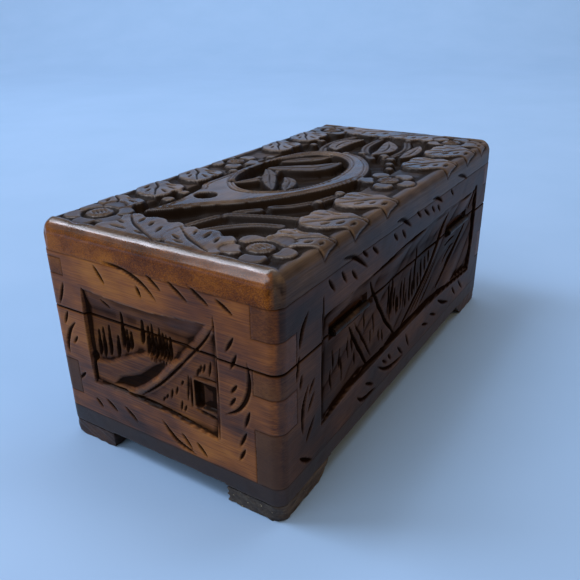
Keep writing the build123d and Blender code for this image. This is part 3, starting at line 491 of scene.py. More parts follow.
SECOND_END_SLITS = [
    [(106, 4), (111, 9), (115, 16), (118, 24)],
    [(105, 9.5), (108.5, 11)],
    [(104.5, 16), (109, 17)],
    [(107.5, 22.5), (111.5, 24)],
    [(113.5, 4.5), (115.5, 9)],
    [(117.3, 9), (118.2, 13)],
    [(111, 28.5), (115, 29.5)],
]
SIDE_LEAF = [(0, 45), (2.5, 39), (8, 36), (13, 37.6), (17, 36.4), (22, 38), (24.5, 42.5), (23.5, 48)]
SIDE_LEAF += [(26, 53), (24, 58), (26, 62.5), (15, 64.5), (10, 66.5), (9.5, 60.5), (6, 56.5), (1.5, 52)]
SIDE_SLITS = [
    [(5, 43.5), (11, 48), (17, 52), (21, 60)],
    [(9.5, 39.5), (12, 44.5)],
    [(16, 39.5), (17.5, 45)],
    [(21, 44), (20.5, 49)],
    [(5.5, 49), (9.5, 50.5)],
    [(10, 54), (13.5, 55)],
    [(13, 59), (17, 59.5)],
]
SIDE_PLACES = [(102, 0.8), (78.5, 1.0), (47, 1.0), (-31, 1.15), (-64, 1.2), (-95, 0.8)]


def lid_relief(x, y):
    """Depth of cut on the lid, by position along its skin."""
    x, y = x + 0.4 * wander(x, y, 17, 3), y + 0.4 * wander(x, y, 15, 8)
    inner = np.clip(np.minimum(100 - np.abs(x), 39 - np.abs(y)) / 2.0, 0, 1)
    border = np.clip(np.minimum(122 - np.abs(x), 60.5 - np.abs(y)) / 5.0, 0, 1)
    roll = np.clip(1 - np.abs(126.5 - np.abs(x)) / 5, 0, 1) + np.clip(1 - np.abs(62 - np.abs(y)) / 5, 0, 1)
    pit = np.clip(1.4 - np.hypot((x - 4) / 42, (y + 7) / 25), 0, 0.3) / 0.3
    pit = np.maximum(pit, np.clip((16 - np.hypot(x - 93, (y + 10) * 1.3)) / 3, 0, 1))
    cut = 1.9 * border + 2.5 * inner + 1.1 * pit * inner + 0.5 * np.clip(roll, 0, 1)
    cut += 0.3 * (wander(x, y, 3.1, 6) + np.abs(wander(x + y, y, 6.0, 9))) * inner
    for path, half in BRANCHES:
        line = smooth_path(path)
        far = nearest_on_path(x, y, line)[0]
        lay_over(cut, half + 0.8 - far, rounded_rim(half + 0.8 - far, 1.6, 1.4, 0.9))
        gouge(cut, x, y, path, 1.2, 0.9, 0.3)
    for path, width in FAR_LEAVES:
        leaf(cut, x, y, path, width, 0.8)
    inside = depth_inside(x, y, smooth_path(WEB + WEB[:1], 4)[:-1])
    hole = np.hypot((x - RING_HOLE[0][0]) / RING_HOLE[1][0], (y - RING_HOLE[0][1]) / RING_HOLE[1][1])
    inside = np.minimum(inside, (hole - 1) * 27)
    inside = np.minimum(inside, np.hypot(x - EYE[0][0], y - EYE[0][1]) - EYE[1])
    band = rounded_rim(inside, 0.1, 0.8, 0.7)
    eyeless = np.clip((np.hypot(x - EYE[0][0], y - EYE[0][1]) - 9) / 3, 0, 1)
    for line in (1.9, 3.6):
        band += 0.8 * eyeless * np.clip(1 - np.abs(inside - line) / 0.6, 0, 1)
    lay_over(cut, inside, band)
    for path, width in INNER_LEAVES:
        leaf(cut, x, y, path, width, 1.3, 3)
    for across, up, radius in BERRIES:
        disc(cut, x, y, (across, up), radius, 0.7, 1.3, 2.4)
    for sign in (-1, 1):
        cut_leaf(cut, sign * x, y, FIRST_END_LEAF, FIRST_END_SLITS)
        cut_leaf(cut, sign * x, y, SECOND_END_LEAF, SECOND_END_SLITS)
        for start, size in SIDE_PLACES:
            # the drawn leaf is moved so that its first point lies at its place on the border
            cut_leaf(cut, (start - x) / size, sign * y, SIDE_LEAF, SIDE_SLITS, 0.1)
    for x_sign in (-1, 1):
        flower(cut, x_sign * x, y, (106.8, -44.5), 10, 6, 6.6, 10.2)
        flower(cut, x_sign * x, y, (106.5, 41.8), 18, 5, 6.2, 10.2)
    flower(cut, x, y, (0, -49), 30, 5, 5.6, 9.6)
    flower(cut, x, y, (-5, 44), 10, 5, 6.0, 10.0)
    return cut


# %% [markdown]
# ## From a grid to a board
#
# A board of the case shows its face, runs round the rounded corner where one of its fingers comes
# through, and shows end grain on the neighbouring side. So its grid is laid along the board, round
# the corner and on to the next face, the corner squares that belong to the neighbour are deleted,
# and the open edge is extruded to the board's inner plane and closed. The board is then one solid,
# with real finger joints.

# %% Columns of a board's grid
CORNER_FLAT, CORNER_ARC = 11, 14
BLOCK = 2 * CORNER_FLAT + CORNER_ARC


def corner_columns(half):
    """Places round the left corner: (along, out, facing angle, unrolled place) for each column."""
    columns = []
    arc_length = math.pi / 2 * CORNER
    for k in range(CORNER_FLAT):
        out = -BOARD + (BOARD - CORNER) * k / CORNER_FLAT
        columns.append((-half, out, math.pi, -half + CORNER - arc_length + CORNER + out))
    for k in range(CORNER_ARC):
        turn = math.pi / 2 * k / CORNER_ARC
        along = -half + CORNER - CORNER * math.cos(turn)
        out = -CORNER + CORNER * math.sin(turn)
        columns.append((along, out, math.pi - turn, -half + CORNER - CORNER * (math.pi / 2 - turn)))
    for k in range(CORNER_FLAT):
        along = -half + CORNER + (BOARD - CORNER) * k / CORNER_FLAT
        columns.append((along, 0.0, math.pi / 2, along))
    return columns


def board_columns(half, step):
    """All columns of a board, from its left end grain to its right end grain."""
    left = corner_columns(half)
    count = round(2 * (half - BOARD) / step)
    middle = [(a, 0.0, math.pi / 2, a) for a in np.linspace(BOARD - half, half - BOARD, count + 1)]
    right = [(-a, n, math.pi - f, -u) for a, n, f, u in reversed(left)]
    return np.array(left + middle + right)


def soften(grid, reach):
    """A blurred copy of a grid of depths, for finding hollows and proud edges."""
    for axis in (0, 1):
        padded = np.concatenate(
            [
                np.repeat(grid.take([0], axis), reach, axis),
                grid,
                np.repeat(grid.take([-1], axis), reach, axis),
            ],
            axis,
        )
        total = np.cumsum(padded, axis)
        first = np.zeros_like(total.take([0], axis))
        total = np.concatenate([first, total], axis)
        width = 2 * reach + 1
        size = grid.shape[axis]
        grid = (total.take(range(width, width + size), axis) - total.take(range(size), axis)) / width
    return grid


def grid_mesh(name, columns, rows):
    """A flat bmesh grid as a mesh, with each vertex's column and row."""
    bm = bmesh.new()
    bmesh.ops.create_grid(bm, x_segments=columns - 1, y_segments=rows - 1, size=0.5)
    mesh = bpy.data.meshes.new(name)
    bm.to_mesh(mesh)
    bm.free()
    flat = np.zeros(len(mesh.vertices) * 3)
    mesh.vertices.foreach_get("co", flat)
    flat = flat.reshape(-1, 3)
    column = np.rint((flat[:, 0] + 0.5) * (columns - 1)).astype(int)
    row = np.rint((flat[:, 1] + 0.5) * (rows - 1)).astype(int)
    return mesh, column, row


def note_on_mesh(mesh, name, values, kind="FLOAT"):
    """Stores one number per vertex, for the materials or for a later step to read."""
    layer = mesh.attributes.new(name, kind, "POINT")
    layer.data.foreach_set("value", np.asarray(values, np.float32 if kind == "FLOAT" else np.int32))


def steepest_drop(cut):
    """How much deeper the deepest neighbour of each grid point is."""
    padded = np.pad(cut, 1, mode="edge")
    ways = [padded[2:, 1:-1], padded[:-2, 1:-1], padded[1:-1, 2:], padded[1:-1, :-2]]
    return np.max(ways, axis=0) - cut


def shadow_notes(mesh, cut, row, column, full_depth, painted_shade=0.0):
    """Notes painted shade in hollows and on steep cut walls, where an edge stands proud, and how deep the
    tool went, which also paints shade.
    """
    wide, tight = soften(cut, 6), soften(cut, 2)
    # Painted shade: steep walls of the cuts are darkened like the hollows, and a caller may add more painted
    # shade.
    wall = 0.6 * np.clip((steepest_drop(cut) - 0.5) / 0.7, 0, 1)
    hollow_shade = np.maximum(np.clip((cut - wide) / 0.6, 0, 1), wall) + painted_shade
    note_on_mesh(mesh, "hollow_shade", np.clip(hollow_shade, 0, 1)[row, column])
    note_on_mesh(mesh, "proud", (np.clip((tight - cut) / 0.35, 0, 1) * (wall == 0))[row, column])
    note_on_mesh(mesh, "deep", np.clip(cut / full_depth, 0, 1)[row, column])


# %% Close a carved skin into a solid
def close_skin(mesh, stages=()):
    """Extrudes the open edge to the same row and column of each sheet, then fills the last loop."""
    bm = bmesh.new()
    bm.from_mesh(mesh)
    row, column = (bm.verts.layers.int.get(name) for name in ("row", "column"))
    # The notes of painted shade and rubbed wear are cleared on the faces behind the skin.
    shade_and_wear_notes = [bm.verts.layers.float.get(name) for name in ("hollow_shade", "deep", "proud")]
    edges = [e for e in bm.edges if e.is_boundary]
    for sheet in stages:
        made = bmesh.ops.extrude_edge_only(bm, edges=edges)["geom"]
        for vert in [g for g in made if isinstance(g, bmesh.types.BMVert)]:
            vert.co = sheet[vert[row], vert[column]]
            for layer in shade_and_wear_notes:
                vert[layer] = 0.0
        edges = [g for g in made if isinstance(g, bmesh.types.BMEdge)]
    bmesh.ops.remove_doubles(bm, verts=bm.verts, dist=0.00001)
    loops = [e for e in bm.edges if e.is_boundary]
    filled = bmesh.ops.holes_fill(bm, edges=loops, sides=0)["faces"]
    for face in filled:
        face.material_index = 1
    bmesh.ops.recalc_face_normals(bm, faces=bm.faces)
    unsound = sum(len(e.link_faces) != 2 for e in bm.edges)
    bm.to_mesh(mesh)
    bm.free()
    return f"{len(filled)} faces close it, unsound edges {unsound}"


def shade_board(mesh, sharp_degrees):
    """Smooth carving, sharp edges past an angle, and flat closing faces."""
    mesh.shade_smooth()
    mesh.set_sharp_from_angle(angle=math.radians(sharp_degrees))
    for face in mesh.polygons:
        face.use_smooth = face.material_index == 0


def stand_in_world(points, side):
    """Board coordinates (along, out, up) in mm to metres in the shared frame."""
    along, out, up = points
    turn = {"right": 0, "back": 1, "left": 2, "front": 3}[side]
    reach = HALF_LENGTH if side in ("right", "left") else HALF_WIDTH
    normal = [(1, 0), (0, 1), (-1, 0), (0, -1)][turn]
    across = (-normal[1], normal[0])
    x = CASKET_X + across[0] * along + normal[0] * (reach + out)
    y = CASKET_Y + across[1] * along + normal[1] * (reach + out)
    return np.stack([x, y, up], -1) * MM

# %% [markdown]
# ## The eight boards
#
# Rows run up a board and columns along it. The wall has 90 rows and the rail 50, so that each
# finger ends exactly on a row. At every edge of a board the wood is eased a little, and painted shade
# is laid along the joints and the gap under the lid; together they draw the thin dark line that shows
# between two boards.

# %% Fingers of the long boards, in rows of the grid, and which boards meet
WALL_ROWS, RAIL_ROWS = 90, 50
WALL_FINGERS = {
    ("back", "right"): [(0, 45), (72, 90)],
    ("front", "right"): [(15, 45)],
    ("back", "left"): [(0, 30), (60, 90)],
    ("front", "left"): [(0, 30), (60, 90)],
}
RAIL_FINGERS = {
    ("back", "right"): [(25, 50)],
    ("front", "right"): [(30, 45)],
    ("back", "left"): [(0, 25)],
    ("front", "left"): [(0, 25)],
}
NEIGHBOURS = {
    "right": ("front", "back"),
    "back": ("right", "left"),
    "left": ("back", "front"),
    "front": ("left", "right"),
}
HINGE_SPOTS = (-70.0, 70.0)
LEAF_HALF, SEAT, SEAT_DEPTH = 16.1, 0.8, 9.6
POCKET_ABOVE = [(18.5, -1), (18.0, 4.6), (6, 5.6), (-8, 5.2), (-17.6, 4.4), (-18.2, -1)]
POCKET_BELOW = [(17.8, 1), (17.4, -2.6), (2, -3.1), (-18, -3.2), (-24, -2.6), (-25, 1)]


def owned_rows(side, end, rows, fingers):
    """Which rows of a corner square belong to this board."""
    other = NEIGHBOURS[side][end]
    long_board = side in ("front", "back")
    bands = fingers[(side, other) if long_board else (other, side)]
    row = np.arange(rows)
    mine = np.zeros(rows, bool)
    for first, last in bands:
        mine |= (row >= first) & (row < last)
    return mine if long_board else ~mine


def let_in_hinges(cut, x, up, parting, above):
    """Chisels the pockets for the hinge barrels, in a board that stands above or below them."""
    pocket = POCKET_ABOVE if above else POCKET_BELOW
    for spot in HINGE_SPOTS:
        outline = [(spot + dx, parting + dz) for dx, dz in pocket]
        rough = 0.25 * wander(x, up, 2.3, spot)
        here = depth_inside(x, up, outline) > 0
        cut[:] = np.where(here, 3.3 + rough * (cut < 3.3), cut)


def carve_board(node, side, fingers, rows, step, scene, parting=None):
    """One board of the case or the lid, carved and closed."""
    low, high = height_of(node, 0), height_of(node, 1)
    half = HALF_WIDTH if side in ("right", "left") else HALF_LENGTH
    columns = board_columns(half, step)
    mesh, column, row = grid_mesh(node, len(columns), rows + 1)
    ups = np.linspace(low, high, rows + 1)
    place, up = np.meshgrid(columns[:, 3], ups)
    across = place if side in ("right", "left") else -place
    cut = scene(across, up) + 0.07 * wander(across, up, 4.0, len(node))
    own = np.ones((rows, len(columns) - 1), bool)
    own[:, :BLOCK] = owned_rows(side, 0, rows, fingers)[:, None]
    own[:, -BLOCK:] = owned_rows(side, 1, rows, fingers)[:, None]
    padded = np.pad(own, 1)
    around = padded[1:, 1:].astype(int) + padded[1:, :-1] + padded[:-1, 1:] + padded[:-1, :-1]
    seam = (around > 0) & (around < 4)
    carving = cut.copy()
    cut += np.where(seam, 0.16, 0)
    for edge, ease in ((0, 0.4), (-1, 0.4)):
        cut[edge] += ease * (abs(ups[edge] - (WALL_TOP + RAIL_BOTTOM) / 2) < 1)
    if parting is not None:
        let_in_hinges(cut, across, up, parting, low >= parting)
    cut = np.maximum(cut, 0)
    facing = columns[:, 2]
    along = columns[:, 0] - cut * np.cos(facing)
    out = columns[:, 1] - cut * np.sin(facing)
    flat_up = up
    if parting is not None:
        at_leaf = np.min([np.abs(across - spot) for spot in HINGE_SPOTS], axis=0) < LEAF_HALF
        away = np.abs(up - parting)
        seated = parting + math.copysign(1, low + high - 2 * parting) * (SEAT + away / 2)
        up = np.where(at_leaf & (away < 2 * SEAT), seated, up)
    points = stand_in_world((along[row, column], out[row, column], up[row, column]), side)
    mesh.vertices.foreach_set("co", points.ravel())
    # Painted shade along the gap under the lid and in the joints between boards, added to the shade of the
    # carving.
    parting_edge = np.abs(up - (WALL_TOP + RAIL_BOTTOM) / 2) < 0.6
    shadow_notes(mesh, carving, row, column, 3.6, 0.8 * parting_edge + 0.5 * seam)
    note_on_mesh(mesh, "row", row, "INT")
    note_on_mesh(mesh, "column", column, "INT")
    end_grain = np.clip((np.abs(np.cos(facing)) - 0.55) / 0.2, 0, 1)
    worn_clean = np.interp(ups, [20, 50, 80, 98], [1.0, 0.75, 0.35, 0.3])
    if side in ("right", "left"):
        rubbed_up = np.interp(ups, [45, 75, 98], [0.1, 0.45, 0.7])
        soaked, golden = end_grain[column], rubbed_up[row] * (1 - end_grain[column])
    else:
        soaked, golden = end_grain[column] * worn_clean[row], end_grain[column] * (1.1 - worn_clean[row])
    note_on_mesh(mesh, "end_grain", soaked)
    note_on_mesh(mesh, "handled_end", golden)
    bm = bmesh.new()
    bm.from_mesh(mesh)
    bm.verts.ensure_lookup_table()
    gone = [
        f for f in bm.faces
        if not own[min(row[v.index] for v in f.verts), min(column[v.index] for v in f.verts)]
    ]
    bmesh.ops.delete(bm, geom=gone, context="FACES")
    bm.to_mesh(mesh)
    bm.free()
    inner_along = np.clip(columns[:, 0][None], along[:, :1], along[:, -1:])

    def sheet(out, level):
        """Where each row and column of the open edge goes, on a plane behind the face."""
        behind = np.broadcast_to(np.minimum(columns[:, 1], out), level.shape)
        return stand_in_world((inner_along, behind, level), side)

    stages = [sheet(-BOARD, flat_up)]
    if parting is not None:
        stages = [sheet(-SEAT_DEPTH, up), sheet(-SEAT_DEPTH - 0.05, flat_up), *stages]
    closing = close_skin(mesh, stages)
    for name in ("row", "column"):
        mesh.attributes.remove(mesh.attributes[name])
    board = bpy.data.objects.new("carved_" + node, mesh)
    bpy.context.scene.collection.objects.link(board)
    shade_board(mesh, 55)
    body = "lid" if node.startswith("lid") else "case"
    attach(board, body)
    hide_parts(node)
    print(node, "faces", len(mesh.polygons), closing)
    return board


def crank_end_scene(s, z):
    """The end scene, with a flat left round the bush of the crank."""
    low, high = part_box("crank_bush")
    bush_up = (low.z + high.z) / 2 / MM
    bush_across = CASKET_Y - (low.y + high.y) / 2 / MM
    far = np.hypot(s - bush_across, z - bush_up)
    return end_scene(s, z) * np.clip((far - 9.5) / 2.5, 0, 1)


# %% Carve them
boards = {
    "right_end_board": carve_board("right_end_board", "right", WALL_FINGERS, WALL_ROWS, 0.5, end_scene),
    "lid_right_rail": carve_board("lid_right_rail", "right", RAIL_FINGERS, RAIL_ROWS, 0.5, end_scene),
    "left_end_board": carve_board("left_end_board", "left", WALL_FINGERS, WALL_ROWS, 0.6, crank_end_scene),
    "lid_left_rail": carve_board("lid_left_rail", "left", RAIL_FINGERS, RAIL_ROWS, 0.6, end_scene),
    "front_board": carve_board("front_board", "front", WALL_FINGERS, WALL_ROWS, 0.6, long_scene),
    "lid_front_rail": carve_board("lid_front_rail", "front", RAIL_FINGERS, RAIL_ROWS, 0.6, long_scene),
    "back_board": carve_board("back_board", "back", WALL_FINGERS, WALL_ROWS, 0.6, long_scene, WALL_TOP),
    "lid_back_rail": carve_board(
        "lid_back_rail", "back", RAIL_FINGERS, RAIL_ROWS, 0.6, long_scene, RAIL_BOTTOM
    ),
}

# %% [markdown]
# ## The lid's top board
#
# Its grid is laid over the top, down the rounded edge and on to the straight skirt under it, as a
# cloth would lie, with the square corners of the grid gathered into quarter circles. Carving that
# is drawn on the flat grid therefore laps over the edge by itself.

# %% Carve the lid
BULLNOSE = 6.0
SKIRT = LID_TOP - PANEL_BOTTOM - BULLNOSE
LAP = BULLNOSE * math.pi / 2 + SKIRT
LID_STEP = 0.665


def wrap_over_lid(u, v):
    """Point, outward direction, distance past the edge and share of the end, for a place on the skin."""
    flat_x, flat_y = HALF_LENGTH - BULLNOSE, HALF_WIDTH - BULLNOSE
    over_x = np.maximum(np.abs(u) - flat_x, 0)
    over_y = np.maximum(np.abs(v) - flat_y, 0)
    past = np.maximum(over_x, over_y)
    share = np.minimum(over_x, over_y) / np.maximum(past, 1e-9)
    fan = np.where(over_x >= over_y, math.pi / 4 * share, math.pi / 2 - math.pi / 4 * share)
    tip = np.minimum(past / BULLNOSE, math.pi / 2)
    reach = BULLNOSE * np.sin(tip)
    drop = BULLNOSE * (1 - np.cos(tip)) + np.maximum(past - BULLNOSE * math.pi / 2, 0)
    x = np.sign(u) * (np.minimum(np.abs(u), flat_x) + reach * np.cos(fan))
    y = np.sign(v) * (np.minimum(np.abs(v), flat_y) + reach * np.sin(fan))
    point = np.stack([x, y, LID_TOP - drop], -1)
    lean = np.sin(tip)
    facing = np.stack([np.sign(u) * lean * np.cos(fan), np.sign(v) * lean * np.sin(fan), np.cos(tip)], -1)
    return point, facing, past, np.cos(fan)


def carve_lid():
    """The lid's top board, carved and closed underneath."""
    half_u = HALF_LENGTH - BULLNOSE + LAP
    half_v = HALF_WIDTH - BULLNOSE + LAP
    columns, rows = round(2 * half_u / LID_STEP) + 1, round(2 * half_v / LID_STEP) + 1
    mesh, column, row = grid_mesh("carved_lid_panel", columns, rows)
    u, v = np.meshgrid(np.linspace(-half_u, half_u, columns), np.linspace(-half_v, half_v, rows))
    point, facing, past, endward = wrap_over_lid(u, v)
    cut = np.maximum(lid_relief(u, v), 0) * np.clip((LAP - 3 - past) / 3, 0, 1)
    cut += np.where(past > BULLNOSE + 1, 0.8 * rail_marks(u, v, point), 0)
    cut += 0.15 * np.clip(1 - (LAP - past) / 0.7, 0, 1)
    cut += 0.08 * wander(u, v, 5, 11)
    steep = np.clip((np.maximum(steepest_drop(cut), steepest_drop(-cut)) - 0.5) / 0.6, 0, 1)
    cut = np.maximum(cut + (soften(cut, 1) - cut) * soften(steep, 1), 0)
    skin = point - facing * cut[..., None] + [CASKET_X, CASKET_Y, 0]
    mesh.vertices.foreach_set("co", (skin[row, column] * MM).ravel())
    # Painted shade on the lid's skirt along both long sides, standing for the shade on the hinge side.
    shaded_long_skirt = np.clip((past - 4) / 3, 0, 1) * np.clip(1 - endward / 0.5, 0, 1)
    shadow_notes(mesh, cut, row, column, 2.6, 0.25 * shaded_long_skirt)
    rolled = np.clip((past - 0.2) / 1.2, 0, 1) * np.clip((endward - 0.75) / 0.2, 0, 1)
    standing = np.clip((0.42 - cut) / 0.12, 0, 1) * np.clip(4.5 - past, 0, 1)
    note_on_mesh(mesh, "edge_roll", (rolled * (1 - standing))[row, column])
    note_on_mesh(mesh, "flank", np.clip((past - 7.5) / 2.5, 0, 1)[row, column])
    closing = close_skin(mesh)
    lid = bpy.data.objects.new("carved_lid_panel", mesh)
    bpy.context.scene.collection.objects.link(lid)
    shade_board(mesh, 60)
    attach(lid, "lid")
    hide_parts("lid_panel")
    print("lid faces", len(mesh.polygons), "deepest cut, mm", round(float(cut.max()), 2), closing)
    return lid


def rail_marks(u, v, point):
    """The border strokes of the sides that run up on to the skirt of the lid."""
    marks = np.zeros(u.shape)
    up = point[..., 2]
    on_long = np.abs(v) - HALF_WIDTH > np.abs(u) - HALF_LENGTH
    for paths, ours, across in (
        (END_STROKES[:1] + END_TICKS[:7], ~on_long & (u > 0), v),
        (END_STROKES[:1] + END_TICKS[:7], ~on_long & (u < 0), -v),
        (LONG_STROKES[:4] + LONG_TICKS[:12], on_long & (v > 0), u),
        (LONG_STROKES[:4] + LONG_TICKS[:12], on_long & (v < 0), -u),
    ):
        part = np.zeros(u.shape)
        for path in paths:
            gouge(part, across, up, path, 2.2, 1.2, 0.7)
        marks += part * ours
    return marks


lid_board = carve_lid()

# %% [markdown]
# ## Base and feet
#
# The base is a plain thick board under the walls. The border strokes of the walls run down on to
# its edge, and its lower edge is rounded by wear, less over the feet at the corners. It is one band of
# grid laid round the box, closed above and below. The feet are small L-shaped blocks that were
# chopped out roughly, so the CAD foot is turned into an even mesh, smoothed a little and chipped.

# %% Base
BASE_BOTTOM = height_of("base_panel", 0)
BASE_ROWS = 18
BASE_STEP = 0.7


def perimeter():
    """Columns round the base: position, outward direction, and the side's own coordinate."""
    columns = []
    sides = (("right", HALF_LENGTH, HALF_WIDTH, 0), ("back", HALF_WIDTH, HALF_LENGTH, 90))
    sides += (("left", HALF_LENGTH, HALF_WIDTH, 180), ("front", HALF_WIDTH, HALF_LENGTH, 270))
    for side, reach, half, angle in sides:
        facing = math.radians(angle)
        normal = np.array([math.cos(facing), math.sin(facing)])
        across = np.array([-normal[1], normal[0]])
        flat = half - CORNER
        sign = 1 if side in ("right", "left") else -1
        for along in np.linspace(-flat, flat, round(2 * flat / BASE_STEP) + 1):
            columns.append(
                (*(normal * reach + across * along), *normal, sign * along, side in ("back", "front"))
            )
        for k in range(1, 14):
            turn = math.pi / 2 * k / 14
            lean = normal * math.cos(turn) + across * math.sin(turn)
            middle = normal * (reach - CORNER) + across * flat
            place = sign * (flat + CORNER * turn)
            columns.append((*(middle + lean * CORNER), *lean, place, side in ("back", "front")))
    columns.append(columns[0])
    return np.array(columns, float)


def carve_base():
    """The base board with a rounded lower edge and the ends of the border strokes."""
    columns = perimeter()
    mesh, column, row = grid_mesh("carved_base_panel", len(columns), BASE_ROWS + 1)
    place, up = np.meshgrid(columns[:, 4], np.linspace(BASE_BOTTOM, BASE_TOP, BASE_ROWS + 1))
    long_side = columns[:, 5] > 0
    cut = np.where(long_side, long_scene(place, up), end_scene(place, up))
    at_corner = np.minimum(HALF_LENGTH - np.abs(columns[:, 0]), HALF_WIDTH - np.abs(columns[:, 1]))
    over_foot = np.abs(columns[:, 0]) > HALF_LENGTH - FOOT_LONG
    over_foot &= np.abs(columns[:, 1]) > HALF_WIDTH - FOOT_SHORT
    ease = np.where(over_foot, 0.7, 1.7) + 0.3 * wander(columns[:, 0], columns[:, 1], 6, 4)
    rise = np.clip(1 - (up - BASE_BOTTOM) / ease, 0, 1)
    cut += ease * (1 - np.sqrt(1 - 0.98 * rise**2))
    cut += 0.12 * np.clip(1 - (BASE_TOP - up) / 0.6, 0, 1) + 0.1 * wander(place, up, 4, 6)
    cut = np.clip(cut, 0, 3)
    flat = np.stack(
        [
            CASKET_X + columns[:, 0] - cut * columns[:, 2],
            CASKET_Y + columns[:, 1] - cut * columns[:, 3],
            up,
        ],
        -1,
    )
    mesh.vertices.foreach_set("co", (flat[row, column] * MM).ravel())
    shadow_notes(mesh, cut, row, column, 3.6)
    corner_shade = np.clip(1 - at_corner / 3, 0, 1)
    note_on_mesh(mesh, "end_grain", (0.5 + 0.5 * corner_shade)[column])
    closing = close_skin(mesh)
    base = bpy.data.objects.new("carved_base_panel", mesh)
    bpy.context.scene.collection.objects.link(base)
    shade_board(mesh, 50)
    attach(base, "case")
    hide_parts("base_panel")
    print("base faces", len(mesh.polygons), closing)
    return base


base_board = carve_base()

# %% Feet
FOOT_GRAIN = 0.8


def chop_foot(node, seed, chips, worn=1.0):
    """A foot with worn edges, tool marks and a chipped end."""
    cad_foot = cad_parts[node]
    low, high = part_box(node)
    rough = bpy.data.objects.new("rough", cad_foot.data.copy())
    rough.data.transform(cad_foot.matrix_world)
    bpy.context.scene.collection.objects.link(rough)
    even = rough.modifiers.new("even", "REMESH")
    even.mode = "VOXEL"
    even.voxel_size = FOOT_GRAIN * MM
    view = bpy.context.evaluated_depsgraph_get()
    mesh = bpy.data.meshes.new_from_object(rough.evaluated_get(view))
    bpy.data.objects.remove(rough)
    bm = bmesh.new()
    bm.from_mesh(mesh)
    bmesh.ops.smooth_vert(bm, verts=bm.verts, factor=0.5, use_axis_x=True, use_axis_y=True, use_axis_z=True)
    bm.normal_update()
    at = np.array([vert.co for vert in bm.verts]) / MM
    marks = 0.25 + 0.3 * wander(at[:, 0], at[:, 2] * 2 + at[:, 1], 1.6, seed)
    inner_end = np.abs(at[:, 1] - CASKET_Y) - (HALF_WIDTH - FOOT_SHORT)
    torn = np.clip(1 - inner_end / 2.5, 0, 1) * (wander(at[:, 2] * 3, at[:, 0], 1.5, seed + 1) + 0.6)
    depth = np.clip(marks + chips * np.clip(torn, 0, 1), 0, 2)
    for vert, sunk in zip(bm.verts, depth):
        moved = vert.co - vert.normal * float(sunk) * MM
        side = HALF_WIDTH - abs(moved.y / MM - CASKET_Y)
        away = math.hypot(worn - side, worn - moved.z / MM)
        if side < worn and moved.z < worn * MM and away > worn:
            inward = math.copysign((worn - side) * (1 - worn / away), CASKET_Y - moved.y / MM)
            moved.y += inward * MM
            moved.z += (worn - moved.z / MM) * (1 - worn / away) * MM
        vert.co = Vector(max(a, min(b, c)) for a, b, c in zip(low, high, moved))
    bm.to_mesh(mesh)
    bm.free()
    mesh.name = "chopped_" + node
    foot = bpy.data.objects.new("chopped_" + node, mesh)
    bpy.context.scene.collection.objects.link(foot)
    mesh.shade_smooth()
    mesh.set_sharp_from_angle(angle=math.radians(50))
    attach(foot, "case")
    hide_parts(node)
    print(node, "faces", len(mesh.polygons))
    return foot


feet = [
    chop_foot("foot_back_right", 3, 1.0),
    chop_foot("foot_front_right", 5, 0.3, 5.0),
    chop_foot("foot_back_left", 7, 0.4),
    chop_foot("foot_front_left", 9, 0.3),
]

# %% [markdown]
# ## Finishes
#
# The wood is a close-grained tropical hardwood, stained dark and brushed with a shiny varnish. The
# notes stored on each board drive the colour: the cuts go dark, partly from stain lying thick in them
# and partly as painted shade in the hollows, on the steep walls and deeper down; the edges that hands
# have rubbed are lighter, and end grain drinks more stain. Painted shade also darkens the joints, the
# gap under the lid and the lid's long skirt, and the long sides take a darker copy of the ends' tones
# as painted shade. The grain is a noise stretched along the board: about 25 mm long and 1.2 mm wide.


# %% Colour and node helpers
def linear(code):
    """An sRGB hex colour as linear RGBA."""
    parts = [int(code[i : i + 2], 16) / 255 for i in (1, 3, 5)]
    return (*[c / 12.92 if c <= 0.04045 else ((c + 0.055) / 1.055) ** 2.4 for c in parts], 1.0)


def add_node(tree, kind, settings=None, **inputs):
    """Adds a node, sets its properties, and sets or links each input by name or number."""
    made = tree.nodes.new(kind)
    for key, value in (settings or {}).items():
        setattr(made, key, value)
    for key, value in inputs.items():
        numbered = key[0] == "n" and key[1:].isdigit()
        spot = made.inputs[int(key[1:]) if numbered else key.replace("_", " ")]
        if isinstance(value, bpy.types.NodeSocket):
            tree.links.new(value, spot)
        else:
            spot.default_value = value
    return made


def new_finish(name):
    """An empty material with its output ready."""
    made = bpy.data.materials.new(name)
    made.use_nodes = True
    tree = made.node_tree
    tree.nodes.clear()
    return made, tree, tree.nodes.new("ShaderNodeOutputMaterial")


def ramp(tree, source, stops):
    """A colour ramp from (position, hex) pairs."""
    made = add_node(tree, "ShaderNodeValToRGB", Fac=source)
    steps = made.color_ramp.elements
    for step, (position, code) in zip([steps[0], steps[1]], (stops[0], stops[-1])):
        step.position, step.color = position, linear(code)
    for position, code in stops[1:-1]:
        steps.new(position).color = linear(code)
    return made.outputs["Color"]


def blend_colour(tree, share, first, second, kind="MIX"):
    """One colour laid over another by a share."""
    made = add_node(tree, "ShaderNodeMix", {"data_type": "RGBA", "blend_type": kind, "clamp_factor": True})
    for socket, value in ((made.inputs[0], share), (made.inputs[6], first), (made.inputs[7], second)):
        if isinstance(value, bpy.types.NodeSocket):
            tree.links.new(value, socket)
        else:
            socket.default_value = value
    return made.outputs[2]


def maths(tree, kind, a, b=0.0, clamp=False):
    """One arithmetic step."""
    settings = {"operation": kind, "use_clamp": clamp}
    return add_node(tree, "ShaderNodeMath", settings, n0=a, n1=b).outputs[0]


def note(tree, name):
    """A number stored on the mesh."""
    return add_node(tree, "ShaderNodeAttribute", {"attribute_name": name}).outputs["Fac"]


